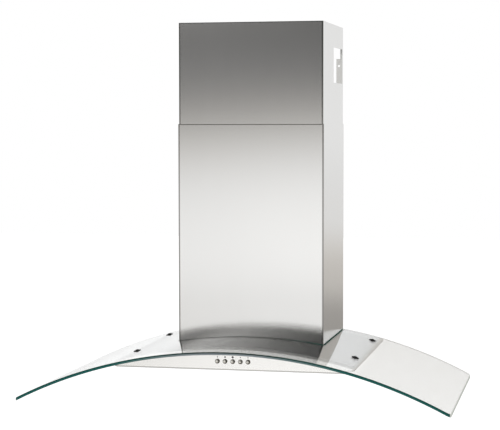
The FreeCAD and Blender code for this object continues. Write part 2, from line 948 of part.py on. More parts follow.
# Motor box
def box_screw_places():
    across = "box_half - box_flange / 2"
    rows = ("-box_front + 3 * box_flange", "-box_rear - 3 * box_flange")
    return [(side + "(%s)" % across, row) for side in ("-", "") for row in rows]


def box_screw_level(x):
    return "arc_centre + sqrt(body_arc ^ 2 - (%s) ^ 2)" % x


def box_screw_hole(x, y):
    level = box_screw_level(x)
    through = (level + " - screw_length", level + " + screw_length")
    return rod("z", through, x, y, "screw_radius + screw_play")


def motor_box():
    sides = ("-box_half", "box_half")
    depth = ("-box_front", "-box_rear")
    outside = box(sides, depth, ("0", "box_top"))
    inside = box(
        ("-box_half + sheet", "box_half - sheet"),
        ("-box_front + sheet", "-box_rear - sheet"),
        ("-1", "box_top - sheet"),
    )
    foot = "body_arc + foot_play"
    walls = cut(outside, inside, arc_rod(foot))
    strip = common(box(sides, depth, ("0", "glass_apex + %d" % BEYOND)), arc_rod(foot + " + sheet"))
    middle = box(
        ("-box_half + box_flange", "box_half - box_flange"),
        ("-box_front + box_flange", "-box_rear - box_flange"),
        ("-1", "glass_apex + %d" % BEYOND),
    )
    flange = cut(strip, arc_rod(foot), middle)
    top = ("box_top - 2 * sheet", "box_top + 1")
    outlet = rod("z", top, "0", "-collar_y", "collar_bore")
    grommet = rod("z", top, "loom_x", "-loom_y", "loom_radius + loom_play")
    holes = [box_screw_hole(x, y) for x, y in box_screw_places()]
    top_holes = [rod("z", top, x, y, "screw_radius + screw_play") for x, y in collar_screw_places()]
    node("motor_box", cut(fuse(walls, flange), outlet, grommet, *holes, *top_holes))


def box_screws():
    """Screws from inside the body up into the motor box's flange."""
    screws = []
    for x, y in box_screw_places():
        under = box_screw_level(x) + " - sheet - screw_drop"
        shank = rod("z", (under, under + " + screw_length"), x, y, "screw_radius")
        head = rod("z", (under + " - screw_head_height", under), x, y, "screw_head")
        screws.append(fuse(shank, head))
    node("box_screws", group(*screws))


def scroll_outline(offset):
    """The scroll's outline across the fan's axis: three quarter arcs and a straight outlet."""
    first = value("scroll_radius") + offset
    growth = value("scroll_growth")
    mouth = value("scroll_mouth") + offset
    y, z = value("-fan_y"), value("fan_z")
    top = value("scroll_top") + BEYOND

    def at(across, up):
        return FreeCAD.Vector(0, y + across, z + up)

    start = math.atan2(math.sqrt(first**2 - mouth**2), mouth)
    half = math.sqrt(0.5)
    second, third = first + growth, first + 2 * growth
    quarter_1 = Part.Arc(
        at(mouth, math.sqrt(first**2 - mouth**2)),
        at(first * math.cos(start / 2), first * math.sin(start / 2)),
        at(first, 0),
    )
    quarter_2 = Part.Arc(
        at(first, 0),
        at(first - second + second * half, -second * half),
        at(first - second, -second),
    )
    quarter_3 = Part.Arc(
        at(first - second, -second),
        at(first - second - third * half, third - second - third * half),
        at(first - second - third, third - second),
    )
    left = first - second - third
    edges = [
        quarter_1.toShape(),
        quarter_2.toShape(),
        quarter_3.toShape(),
        Part.makeLine(at(left, third - second), FreeCAD.Vector(0, y + left, top)),
        Part.makeLine(FreeCAD.Vector(0, y + left, top), FreeCAD.Vector(0, y + mouth, top)),
        Part.makeLine(FreeCAD.Vector(0, y + mouth, top), at(mouth, math.sqrt(first**2 - mouth**2))),
    ]
    return Part.Face(Part.Wire(edges))


def scroll_housing():
    """A sheet scroll round the impeller, with a round inlet in each side and an open outlet on top."""
    half, wall, lip = value("scroll_half"), value("scroll_wall"), value("scroll_flange")
    move = FreeCAD.Vector(-half, 0, 0)
    solid = scroll_outline(0).translated(move).extrude(FreeCAD.Vector(2 * half, 0, 0))
    inner_move = FreeCAD.Vector(-half + wall, 0, 0)
    hollow = scroll_outline(-wall).translated(inner_move).extrude(FreeCAD.Vector(2 * (half - wall), 0, 0))
    high = value("scroll_top")
    mouth_front = value("-fan_y - scroll_radius - 3 * scroll_growth")
    mouth_rear = value("-fan_y + scroll_mouth")
    flange = Part.makeBox(
        2 * (half + lip),
        mouth_rear - mouth_front + 2 * lip,
        wall,
        FreeCAD.Vector(-half - lip, mouth_front - lip, high - wall),
    )
    mouth = Part.makeBox(
        2 * (half - wall),
        mouth_rear - mouth_front - 2 * wall,
        4 * wall,
        FreeCAD.Vector(-half + wall, mouth_front + wall, high - 3 * wall),
    )
    above = Part.makeBox(
        2 * (half + BEYOND),
        mouth_rear - mouth_front + 2 * BEYOND,
        2 * BEYOND,
        FreeCAD.Vector(-half - BEYOND, mouth_front - BEYOND, high),
    )
    inlet = Part.makeCylinder(
        value("inlet_radius"),
        2 * half + 2,
        FreeCAD.Vector(-half - 1, value("-fan_y"), value("fan_z")),
        FreeCAD.Vector(1, 0, 0),
    )
    shape = solid.fuse(flange).cut(hollow).cut(mouth).cut(inlet).cut(above).removeSplitter()
    feature = DOCUMENT.addObject("Part::Feature", "scroll")
    feature.Shape = shape.Solids[0]
    feature.Placement = FreeCAD.Placement()
    node("scroll_housing", feature)


def impeller():
    """Centre disc, hub, two end rings and a round of sloping blades, about the fan's axis."""
    wheel = body("wheel")
    bore = ("0", "0", "shaft_radius")
    for radius, width in (("fan_radius - disc_inset", "fan_disc"), ("hub_outer", "2 * hub_half")):
        pad(wheel, sketch(wheel, "YZ_Plane", circles=[("0", "0", radius), bore]), width, True)
    blade = sketch(
        wheel,
        "YZ_Plane",
        [
            ("fan_radius - blade_depth", "0"),
            ("fan_radius - blade_inset", "blade_slope"),
            ("fan_radius - blade_inset", "blade_slope + blade_thickness"),
            ("fan_radius - blade_depth", "blade_thickness"),
        ],
    )
    vane = pad(wheel, blade, "2 * fan_half", True)
    around = wheel.newObject("PartDesign::PolarPattern", "around")
    around.Originals = [vane]
    around.Axis = (blade, ["N_Axis"])
    around.Angle = 360
    bind(around, "Occurrences", "blade_count")
    wheel.Tip = around
    last = around
    rims = [("0", "0", "fan_radius"), ("0", "0", "fan_radius - blade_depth")]
    for side in (-1, 1):
        rim = sketch(wheel, "YZ_Plane", circles=rims)
        bind(rim, "AttachmentOffset.Base.z", "%d * (fan_half - fan_ring / 2)" % side)
        last = pad(wheel, rim, "fan_ring", True)
    wheel.Tip = last
    bind(wheel, "Placement.Base.y", "-fan_y")
    bind(wheel, "Placement.Base.z", "fan_z")
    node("impeller", wheel)


def motor_shaft():
    span = ("-motor_inner - motor_length + shaft_end", "hub_half - shaft_end")
    node("motor_shaft", rod("x", span, "-fan_y", "fan_z", "shaft_radius - shaft_fit"))


def motor():
    """The motor's can with a ribbed middle and a boss that carries the shaft."""
    high = "-motor_inner"
    low = high + " - motor_length"

    def part(low_x, high_x, radius):
        return rod("x", (low_x, high_x), "-fan_y", "fan_z", radius)

    can = part(low, high, "motor_radius - motor_step")
    cup_high = high + " - cup_inset"
    cup_low = cup_high + " - motor_cup"
    cup = part(cup_low, cup_high, "motor_radius")
    band = part(low + " + motor_tail", cup_low + " - motor_groove", "motor_radius")
    boss = part(high, high + " + boss_length", "motor_boss")
    bore = part(low + " - 1", high + " + boss_length + 1", "shaft_radius + shaft_play")
    node("motor", cut(fuse(can, band, cup, boss), bore))


def motor_bracket():
    """A ring round the motor on three arms that reach the scroll's side."""
    face = "-scroll_half - mesh_play"
    bore = "motor_radius + bracket_play"
    band = ring("x", ("-motor_inner - bracket_reach", face), "-fan_y", "fan_z", "bracket_ring", bore)
    start = "((bracket_ring + %s) / 2)" % bore
    arms = []
    for n in range(SIZES["arm_count"]):
        angle = 90 + n * 360 / SIZES["arm_count"]
        arm = DOCUMENT.addObject("Part::Box", "arm")
        arm.Placement = FreeCAD.Placement(
            FreeCAD.Vector(), FreeCAD.Rotation(FreeCAD.Vector(1, 0, 0), angle)
        )
        bind(arm, "Length", "arm_thickness")
        bind(arm, "Width", "arm_reach - " + start)
        bind(arm, "Height", "arm_width")
        bind(arm, "Placement.Base.x", face + " - arm_thickness")
        turn = (start, angle, angle)
        bind(arm, "Placement.Base.y", "-fan_y + %s * cos(%g) + arm_width / 2 * sin(%g)" % turn)
        bind(arm, "Placement.Base.z", "fan_z + %s * sin(%g) - arm_width / 2 * cos(%g)" % turn)
        arms.append(arm)
    node("motor_bracket", fuse(band, *arms))


# Outlet collar and damper
def collar_screw_places():
    across = "(collar_radius + collar_flange / 2) * sqrt(0.5)"
    return [(sx + across, "-collar_y %s %s" % (sy, across)) for sx in ("-", "") for sy in ("-", "+")]


def outlet_collar():
    """The round duct spigot, with a flange, a ledge under the flaps and holes for the pin."""

    def part(low, high, outer, inner):
        return ring("z", (low, high), "0", "-collar_y", outer, inner)

    flange = part("box_seat", "box_seat + collar_wall", "collar_radius + collar_flange", "collar_bore")
    tube = part("box_seat", "collar_top", "collar_radius", "collar_bore")
    ledge_top = "pin_z - flap_thickness / 2 - mesh_play"
    ledge_bore = "collar_bore - ledge_width"
    ledge = part(ledge_top + " - ledge_width", ledge_top, "(collar_radius + collar_bore) / 2", ledge_bore)
    across = ("-2 * collar_radius", "2 * collar_radius")
    pin_hole = rod("x", across, "-collar_y", "pin_z", "pin_radius + shaft_play")
    holes = [
        rod("z", ("box_top - 1", "box_seat + collar_wall + 1"), x, y, "screw_radius + screw_play")
        for x, y in collar_screw_places()
    ]
    node("outlet_collar", cut(fuse(flange, tube, ledge), pin_hole, *holes))


def collar_screws():
    screws = []
    seat = "box_seat + collar_wall + screw_play"
    for x, y in collar_screw_places():
        shank = rod("z", (seat + " - screw_length", seat), x, y, "screw_radius")
        head = rod("z", (seat, seat + " + screw_head_height"), x, y, "screw_head")
        screws.append(fuse(shank, head))
    node("collar_screws", group(*screws))


def damper_pin():
    span = ("-collar_radius + mesh_play", "collar_radius - mesh_play")
    node("damper_pin", rod("x", span, "-collar_y", "pin_z", "pin_radius"))


def damper_flap(name, side, first_knuckle):
    """Half a disc with two knuckles on the pin; side is -1 in front of the pin and 1 behind it."""
    radius = "collar_bore - flap_play"
    away = "(knuckle_radius + knuckle_gap)"
    level = ("pin_z - flap_thickness / 2", "pin_z + flap_thickness / 2")
    disc = rod("z", level, "0", "-collar_y", radius)
    near = "-collar_y + %d * %s" % (side, away)
    far = "-collar_y + %d * collar_radius" % side
    span = (far, near) if side < 0 else (near, far)
    plate = common(disc, box(("-collar_radius", "collar_radius"), span, level))
    pieces = [plate]
    for start in (first_knuckle, first_knuckle + 2):
        low = "%d * (knuckle_length + knuckle_gap)" % start
        high = low + " + knuckle_length"
        pieces.append(rod("x", (low, high), "-collar_y", "pin_z", "knuckle_radius"))
        edge = "-collar_y + %d * (%s + knuckle_radius)" % (side, away)
        web = ("-collar_y", edge) if side > 0 else (edge, "-collar_y")
        pieces.append(box((low, high), web, level))
    bore = rod("x", ("-collar_radius", "collar_radius"), "-collar_y", "pin_z", "pin_radius + shaft_play")
    node(name, cut(fuse(*pieces), bore))


# Electrical pieces
def capacitor():
    """A can with a crimped groove near its foot and two flat tags on top."""
    x, y = "-capacitor_x", "-capacitor_y"
    top = "box_seat + capacitor_height"
    can = rod("z", ("box_seat", top), x, y, "capacitor_radius")
    crimp_level = ("box_seat + crimp_level", "box_seat + crimp_level + crimp_height")
    crimp = ring("z", crimp_level, x, y, "capacitor_radius + 1", "capacitor_radius - crimp_depth")
    tags = []
    for sign in ("-", "+"):
        middle = "%s %s tag_spread" % (x, sign)
        width = (middle + " - tag_thickness / 2", middle + " + tag_thickness / 2")
        tags.append(box(width, (y + " - tag_half", y + " + tag_half"), (top + " - 1", top + " + tag_rise")))
    node("capacitor", cut(fuse(can, *tags), crimp))


def terminal_box():
    high = "box_seat + terminal_height"
    case = box(("terminal_low", "terminal_high"), ("-terminal_front", "-terminal_rear"), ("box_seat", high))
    room = box(
        ("terminal_low + terminal_wall", "terminal_high - terminal_wall"),
        ("-terminal_front + terminal_wall", "-terminal_rear - terminal_wall"),
        ("box_seat + terminal_wall", high + " + 1"),
    )
    middle = "(terminal_low + terminal_high) / 2"
    level = "box_seat + terminal_height / 2"
    back = ("-terminal_rear - 2 * terminal_wall", "-terminal_rear + 1")
    gland_hole = rod("y", back, middle, level, "gland_bore + gland_wall")
    front = ("-terminal_front - 1", "-terminal_front + 2 * terminal_wall")
    loom_hole = rod("y", front, "loom_x", "box_top + loom_rise", "loom_radius + mesh_play")
    node("terminal_box", cut(case, room, gland_hole, loom_hole))


def terminal_lid():
    low = "box_seat + mesh_play + terminal_height"
    plate = box(
        ("terminal_low - lid_overhang", "terminal_high + lid_overhang"),
        ("-terminal_front - lid_overhang", "-terminal_rear + lid_overhang"),
        (low, low + " + lid_thickness"),
    )
    skirt = box(
        ("terminal_low + terminal_wall + mesh_play", "terminal_high - terminal_wall - mesh_play"),
        ("-terminal_front + terminal_wall + mesh_play", "-terminal_rear - terminal_wall - mesh_play"),
        (low + " - lid_skirt", low + " + lid_thickness / 2"),
    )
    node("terminal_lid", fuse(plate, skirt))


def cable_gland():
    """The entry for the mains lead: a threaded neck in the terminal box's back, and its nut."""
    middle = "(terminal_low + terminal_high) / 2"
    level = "box_seat + terminal_height / 2"
    wall = "-terminal_rear"

    def turned(low, high, radius):
        return rod("y", (wall + low, wall + high), middle, level, radius)

    neck = turned(" - terminal_wall - gland_tip / 2", " + 1", "gland_bore + gland_wall - mesh_play")
    nut = turned(" + mesh_play", " + gland_length - gland_tip", "gland_radius")
    tip = turned(" + gland_length - gland_tip - 1", " + gland_length", "gland_radius - gland_wall")
    bore = turned(" - gland_length", " + gland_length + 1", "gland_bore")
    node("cable_gland", cut(fuse(neck, nut, tip), bore))


def wire_loom():
    """The loom from the switch block, over the right filter and up through the motor box."""
    x, y = value("loom_x"), value("-loom_y")
    low, high = value("loom_level"), value("box_top + loom_rise")
    first = value("(block_face + block_back) / 2")
    corners = [
        FreeCAD.Vector(value("block_right + mesh_play"), first, low),
        FreeCAD.Vector(x, first, low),
        FreeCAD.Vector(x, y, low),
        FreeCAD.Vector(x, y, high),
        FreeCAD.Vector(x, value("-terminal_front - mesh_play"), high),
    ]
    edges = []
    here = corners[0]
    for n in range(1, len(corners) - 1):
        corner = corners[n]
        back, ahead = corners[n - 1] - corner, corners[n + 1] - corner
        radius = min(value("loom_bend"), back.Length / 2, ahead.Length / 2)
        back.normalize()
        ahead.normalize()
        enter, leave = corner + back * radius, corner + ahead * radius
        middle = corner + (back + ahead) * (radius * (1 - math.sqrt(0.5)))
        edges.append(Part.LineSegment(here, enter).toShape())
        edges.append(Part.Arc(enter, middle, leave).toShape())
        here = leave
    edges.append(Part.LineSegment(here, corners[-1]).toShape())
    path = Part.Wire(edges)
    section = Part.Wire(Part.makeCircle(value("loom_radius"), corners[0], corners[1] - corners[0]))
    feature = DOCUMENT.addObject("Part::Feature", "loom")
    feature.Shape = path.makePipeShell([section], True, False)
    feature.Placement = FreeCAD.Placement()
    node("wire_loom", feature)


# Wall mounting
def mounting_plate():
    """A plate on the wall, with two side flanges that the motor box hangs on."""
    level = ("plate_low", "plate_high")
    plate = box(("-plate_half", "plate_half"), ("-plate_thickness", "0"), level)
    arm = box(
        ("plate_flange", "plate_flange + plate_thickness"),
        ("-box_rear + mesh_play", "-plate_thickness / 2"),
        ("plate_low + plate_arm_inset", "plate_high - plate_arm_inset"),
    )
    through = ("-plate_thickness - 1", "1")
    bolts = [
        rod("y", through, sign + "(plate_half - bolt_side_margin)", row, "wall_bolt_radius")
        for sign in ("-", "")
        for row in ("plate_low + bolt_end_margin", "plate_high - bolt_end_margin")
    ]
    node("mounting_plate", cut(fuse(plate, arm, mirrored(arm)), *bolts))


def chimney_clips():
    """Two angle clips at the motor box's back corners that hold the lower chimney's flanges."""
    level = ("clip_low", "clip_high")
    inner = "box_half + mesh_play"
    leg = box((inner, inner + " + clip_thickness"), ("-clip_depth", "-sheet - mesh_play"), level)
    flap = box(
        (inner, "lower_width / 2 - sheet - mesh_play"),
        ("-sheet - mesh_play - clip_thickness", "-sheet - mesh_play"),
        level,
    )
    clip = fuse(leg, flap)
    node("chimney_clips", group(clip, mirrored(clip)))


# Chimney
def channel(name, half, front, rear, low, high, flange):
    """A folded channel, open at the back, with a narrow flange along each back edge."""
    shaft = body(name)
    inner = "(%s) - sheet" % half
    lip = "(%s) - %s" % (half, flange)
    right = [
        (half, "-(%s)" % rear),
        (lip, "-(%s)" % rear),
        (lip, "-(%s) - sheet" % rear),
        (inner, "-(%s) - sheet" % rear),
        (inner, "-(%s) + sheet" % front),
    ]
    corners = right + [("-(%s)" % x, y) for x, y in reversed(right)]
    corners += [("-(%s)" % half, "-(%s)" % front), (half, "-(%s)" % front)]
    outline = sketch(shaft, "XY_Plane", corners)
    bind(outline, "AttachmentOffset.Base.z", low)
    walls = pad(shaft, outline, "(%s) - (%s)" % (high, low))
    DOCUMENT.recompute()
    bends = shaft.newObject("PartDesign::Fillet", "bends")
    bends.Base = (walls, front_corner_edges(walls.Shape))
    bind(bends, "Radius", "chimney_bend")
    shaft.Tip = bends
    return shaft


def lower_chimney():
    shaft = channel("lower_shaft", "lower_width / 2", "lower_depth", "0", "0", "lower_top", "chimney_flange")
    foot = sketch(shaft, "XZ_Plane", circles=[("0", "arc_centre", "body_arc + foot_play")])
    shaft.Tip = pocket(shaft, foot)
    node("lower_chimney", shaft)


def upper_chimney():
    low = "upper_top - upper_length"
    shaft = channel("upper_shaft", "upper_half", "upper_front", "upper_rear", low, "upper_top", "tab_flange")
    windows = sketch(
        shaft,
        "YZ_Plane",
        [
            ("-window_front", "window_low"),
            ("-window_rear", "window_low"),
            ("-window_rear", "window_high"),
            ("-window_front", "window_high"),
        ],
    )
    pocket(shaft, windows)
    depth = "upper_rear + 2 * sheet"
    edge = "upper_half - tab_lip"
    for sign in ("-", ""):
        relief = sketch(
            shaft,
            "XZ_Plane",
            [
                ("%s(%s)" % (sign, edge), "tab_top"),
                ("%s(%s)" % (sign, edge), "upper_top + 1"),
                ("%s(%s - tab_flange)" % (sign, edge), "upper_top + 1"),
                ("%s(%s - tab_flange)" % (sign, edge), "tab_top"),
            ],
        )
        pocket(shaft, relief, depth)
    holes = [(sign + "tab_hole_x", "tab_hole_level", "tab_hole") for sign in ("-", "")]
    shaft.Tip = pocket(shaft, sketch(shaft, "XZ_Plane", circles=holes), depth)
    node("upper_chimney", shaft)


def upper_bracket():
    """The strip across the top of the upper chimney's back, with forward ends and wall slots."""
    level = ("bracket_low", "bracket_high")
    back = "-upper_rear - sheet - mesh_play"
    half = "upper_half - sheet - mesh_play"
    front = back + " - bracket_thickness"
    strip = box(("-(%s)" % half, half), (front, back), level)
    end = box((half + " - bracket_thickness", half), (back + " - bracket_depth", back), level)
    middle = "(bracket_low + bracket_high) / 2"
    straight = "(slot_length / 2 - slot_radius)"
    slots = []
    through = (front + " - 1", back + " + 1")
    for sign in ("-", ""):
        place = sign + "slot_place"
        slots.append(box((place + " - " + straight, place + " + " + straight), through,
                         (middle + " - slot_radius", middle + " + slot_radius")))
        for step in ("-", "+"):
            slots.append(rod("y", through, "%s %s %s" % (place, step, straight), middle, "slot_radius"))
    node("upper_bracket", cut(fuse(strip, end, mirrored(end)), *slots))


def build():
    glass_canopy()
    glass_caps()
    glass_studs()
    glass_washers()
    front_fascia()
    body_shell()
    bottom_panel()
    filters()
    lamps()
    push_buttons()
    switch_block()
    indicator_lens()
    motor_box()
    box_screws()
    scroll_housing()
    impeller()
    motor_shaft()
    motor()
    motor_bracket()
    outlet_collar()
    collar_screws()
    damper_pin()
    damper_flap("damper_flap_front", -1, -2)
    damper_flap("damper_flap_rear", 1, -1)
    capacitor()
    terminal_box()
    terminal_lid()
    cable_gland()
    wire_loom()
    mounting_plate()
    chimney_clips()
    lower_chimney()
    upper_chimney()
    upper_bracket()


def check():
    """Stops with a message if any object failed, or a sub-part is empty or not valid."""
    for item in DOCUMENT.Objects:
        if "Invalid" in item.State or "Error" in item.State:
            raise RuntimeError("%s (%s) failed: %s" % (item.Name, item.Label, item.State))
    for item in NODES:
        shape = item.Shape
        if shape.isNull() or not shape.isValid() or not shape.Solids:
            raise RuntimeError("%s has no valid solid" % item.Label)


fill_sheet()
build()
DOCUMENT.recompute()
check()
for item in NODES:
    item.Shape.exportStep("parts/%s.step" % item.Label)
print(len(NODES), "sub-parts written")
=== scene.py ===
import json
import math

import bmesh
import bpy
from mathutils import Matrix, Vector, geometry

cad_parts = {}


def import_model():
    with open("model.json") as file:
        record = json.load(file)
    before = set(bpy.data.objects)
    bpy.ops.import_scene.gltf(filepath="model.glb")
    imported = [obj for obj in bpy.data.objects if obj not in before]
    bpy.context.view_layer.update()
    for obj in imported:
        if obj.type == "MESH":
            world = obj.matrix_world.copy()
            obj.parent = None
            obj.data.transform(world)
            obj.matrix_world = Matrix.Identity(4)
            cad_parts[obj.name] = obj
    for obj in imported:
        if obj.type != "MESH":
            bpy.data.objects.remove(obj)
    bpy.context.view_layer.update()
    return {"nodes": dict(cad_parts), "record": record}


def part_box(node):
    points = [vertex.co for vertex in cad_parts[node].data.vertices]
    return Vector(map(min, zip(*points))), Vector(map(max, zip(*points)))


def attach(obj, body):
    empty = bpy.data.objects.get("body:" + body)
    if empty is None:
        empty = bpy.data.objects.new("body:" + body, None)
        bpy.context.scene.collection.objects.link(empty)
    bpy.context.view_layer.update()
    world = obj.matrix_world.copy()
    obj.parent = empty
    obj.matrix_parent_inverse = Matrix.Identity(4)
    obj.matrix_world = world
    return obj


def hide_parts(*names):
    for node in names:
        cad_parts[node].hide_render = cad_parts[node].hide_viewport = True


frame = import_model()
NODES = frame["nodes"]

# Frame: metres, X to the viewer's right, Y into the wall, Z up, the front faces -Y

# Camera, as solved from the photograph
CAMERA_PLACE = Vector((0.7113, -3.5024, 0.5048))
CAMERA_YAW = 0.21669
CAMERA_PITCH = -0.05984
CAMERA_ROLL = -0.0015
IMAGE_WIDTH = 500
FOCAL_PIXELS = 1550.8
SENSOR_WIDTH = 36.0


def camera():
    """The camera looks along a heading to the left of the wall's normal, slightly down."""
    cos_yaw, sin_yaw = math.cos(CAMERA_YAW), math.sin(CAMERA_YAW)
    cos_pitch, sin_pitch = math.cos(CAMERA_PITCH), math.sin(CAMERA_PITCH)
    forward = Vector((-sin_yaw * cos_pitch, cos_yaw * cos_pitch, sin_pitch))
    level = Vector((cos_yaw, sin_yaw, 0))
    upright = level.cross(forward)
    right = math.cos(CAMERA_ROLL) * level + math.sin(CAMERA_ROLL) * upright
    up = -math.sin(CAMERA_ROLL) * level + math.cos(CAMERA_ROLL) * upright
    data = bpy.data.cameras.new("camera")
    data.sensor_width = SENSOR_WIDTH
    data.lens = FOCAL_PIXELS * SENSOR_WIDTH / IMAGE_WIDTH
    eye = bpy.data.objects.new("camera", data)
    turn = Matrix((right, up, -forward)).transposed().to_4x4()
    eye.matrix_world = Matrix.Translation(CAMERA_PLACE) @ turn
    bpy.context.scene.collection.objects.link(eye)
    bpy.context.scene.camera = eye


# Mesh building
class Build:
    """Collects the vertices and faces of one piece, in the shared frame."""

    def __init__(self):
        self.points = []
        self.faces = []
        self.looks = []
        self.normals = {}

    def ring(self, points, normals=None):
        """Adds points and returns their numbers; normals, where given, are set for smooth shading."""
        first = len(self.points)
        self.points.extend(tuple(point) for point in points)
        numbers = list(range(first, len(self.points)))
        for number, normal in zip(numbers, normals or ()):
            self.normals[number] = normal
        return numbers

    def face(self, corners, look=0):
        """A face and the number of its material; corners that repeat are dropped."""
        kept = [n for i, n in enumerate(corners) if n != corners[i - 1]]
        if len(kept) > 2:
            self.faces.append(kept)
            self.looks.append(look)

    def band(self, one, two, look=0):
        """Quads between two closed rings of the same length."""
        for corners in zip(one, one[1:] + one[:1], two[1:] + two[:1], two):
            self.face(corners, look)

    def spin(self, profile, turn, steps=40):
        """A profile of (radius, height) pairs spun about the z axis of a frame; ends at radius 0 close."""
        rings = []
        for radius, height in profile:
            if radius == 0:
                rings.append(self.ring([turn @ Vector((0, 0, height))]) * steps)
                continue
            angles = [2 * math.pi * step / steps for step in range(steps)]
            circle = [Vector((radius * math.cos(a), radius * math.sin(a), height)) for a in angles]
            rings.append(self.ring([turn @ point for point in circle]))
        for one, two in zip(rings, rings[1:]):
            self.band(one, two)

    def mesh(self, name, sharp):
        """The mesh with its faces turned outwards.

        It is shaded by the normals of its rings where they are given, and else smooth but for edges
        sharper than an angle.
        """
        mesh = bpy.data.meshes.new(name)
        mesh.from_pydata(self.points, [], self.faces)
        mesh.polygons.foreach_set("material_index", self.looks)
        mesh.update()
        work = bmesh.new()
        work.from_mesh(mesh)
        bmesh.ops.recalc_face_normals(work, faces=work.faces)
        work.to_mesh(mesh)
        work.free()
        mesh.shade_smooth()
        if self.normals:
            blank = Vector((0, 0, 0))
            normals = [self.normals.get(n, blank) for n in range(len(self.points))]
            mesh.normals_split_custom_set_from_vertices(normals)
        else:
            mesh.set_sharp_from_angle(angle=math.radians(sharp))
        return mesh

    def piece(self, name, materials, body, *replaced, sharp=40):
        """Makes the object that rides on a body and takes the place of the nodes that it replaces."""
        mesh = self.mesh(name, sharp)
        for material in materials if isinstance(materials, tuple) else (materials,):
            mesh.materials.append(material)
        made = bpy.data.objects.new(name, mesh)
        bpy.context.scene.collection.objects.link(made)
        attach(made, body)
        if replaced:
            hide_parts(*replaced)


def standing(place, axis):
    """A frame at a place whose z axis points along a direction."""
    return Matrix.Translation(place) @ Vector(axis).to_track_quat("Z", "Y").to_matrix().to_4x4()


CORNER_STEPS = 10


def rounded(points, corners):
    """A closed plan whose corners are rounded: radius 0 keeps a corner sharp."""
    plan = []
    count = len(points)
    for index, (corner, radius) in enumerate(zip(points, corners)):
        corner = Vector(corner)
        before = (Vector(points[index - 1]) - corner).normalized()
        after = (Vector(points[(index + 1) % count]) - corner).normalized()
        if not radius:
            plan.append(corner)
            continue
        centre = corner + (before + after) * radius
        for step in range(CORNER_STEPS + 1):
            angle = math.pi / 2 * step / CORNER_STEPS
            plan.append(centre - after * radius * math.cos(angle) - before * radius * math.sin(angle))
    return plan


def inset(plan, distance):
    """A closed plan moved inwards, with the outward direction at each of its points."""
    moved, outward = [], []
    for index, point in enumerate(plan):
        ahead = (plan[(index + 1) % len(plan)] - point).normalized()
        behind = (point - plan[index - 1]).normalized()
        sides = [Vector((d.y, -d.x)) for d in (behind, ahead)]
        middle = (sides[0] + sides[1]).normalized()
        moved.append(point - middle * distance / middle.dot(sides[0]))
        outward.append(middle)
    return moved, outward


def inside(point, loop):
    """Whether a point lies within a closed plan."""
    odd = False
    for index, one in enumerate(loop):
        two = loop[index - 1]
        if (one.y > point.y) != (two.y > point.y):
            if point.x < (two.x - one.x) * (point.y - one.y) / (two.y - one.y) + one.x:
                odd = not odd
    return odd


# Glass canopy: the radii of its two faces, the height of its crown, its plan and its holes
GLASS_TOP = 0.98152
GLASS_THICKNESS = 0.006
GLASS_UNDER = GLASS_TOP - GLASS_THICKNESS
CROWN_HEIGHT = 0.0442
ARC_CENTRE = CROWN_HEIGHT - GLASS_TOP
GLASS_HALF_WIDTH = 0.45
GLASS_DEPTH = 0.5
GLASS_CORNER = 0.01
NOTCH_MARGIN = 0.0015
NOTCH_CORNER = 0.004
GLASS_HOLE = 0.004
HOLE_STEPS = 32
CAP_PLACE = 0.236
CAP_ROWS = (-0.327, -0.066)
# The rounding along its edges, and the steps in which its faces are filled
GLASS_ROUNDING = 0.0011
ROUNDING_ANGLES = (90, 60, 30, 0)
ARC_STEP = 0.01
STRIP_MARGIN = 0.01
SAME_POINT = 1e-7


def arc_height(across, radius):
    """The height of an arched face at a place across."""
    return ARC_CENTRE + math.sqrt(radius ** 2 - across ** 2)


def arc_normal(across, radius):
    """The direction outwards from the arc at a place across."""
    return Vector((across, 0, math.sqrt(radius ** 2 - across ** 2))).normalized()


def glass_plan():
    """The outline of the canopy in plan, with the notch for the chimney in its back edge."""
    low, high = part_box("lower_chimney")
    side, notch = GLASS_HALF_WIDTH, high.x + NOTCH_MARGIN
    points = [(-side, -GLASS_DEPTH), (side, -GLASS_DEPTH), (side, 0), (notch, 0)]
    points += [(notch, low.y - NOTCH_MARGIN), (-notch, low.y - NOTCH_MARGIN), (-notch, 0), (-side, 0)]
    corner, inner = GLASS_CORNER, NOTCH_CORNER
    return rounded(points, (corner, corner, corner, 0, inner, inner, 0, corner))


def dense(plan):
    """A plan with points added so that no step across is longer than the arc step."""
    filled = []
    for index, point in enumerate(plan):
        after = plan[(index + 1) % len(plan)]
        steps = max(1, math.ceil(abs(after.x - point.x) / ARC_STEP))
        filled += [point.lerp(after, step / steps) for step in range(steps)]
    return filled


def hole_plan(side, row, radius):
    """A hole's circle; the hole leans with the arc, so its middle moves with the level."""
    middle = Vector((side * CAP_PLACE * radius / GLASS_TOP, row))
    angles = [-2 * math.pi * step / HOLE_STEPS for step in range(HOLE_STEPS)]
    return [middle + GLASS_HOLE * Vector((math.cos(a), math.sin(a))) for a in angles]


def glass_edge(build, top_plan, under_plan, look):
    """Rounds an edge over from the top face to the lower one and returns its two outer rings."""
    turns = [math.radians(angle) for angle in ROUNDING_ANGLES]
    levels = [(top_plan, GLASS_TOP, 1, turn) for turn in turns]
    levels += [(under_plan, GLASS_UNDER, -1, turn) for turn in reversed(turns)]
    rings = []
    for plan, radius, flip, turn in levels:
        sunk = GLASS_ROUNDING * (1 - math.sin(turn))
        moved, outward = inset(plan, GLASS_ROUNDING * (1 - math.cos(turn)))
        points, normals = [], []
        for place, out in zip(moved, outward):
            points.append((place.x, place.y, arc_height(place.x, radius) - flip * sunk))
            up = arc_normal(place.x, radius) * flip * math.sin(turn)
            normals.append((up + Vector((out.x, out.y, 0)) * math.cos(turn)).normalized())
        rings.append(build.ring(points, normals))
    for one, two in zip(rings, rings[1:]):
        build.band(one, two, look)
    return rings[0], rings[-1]


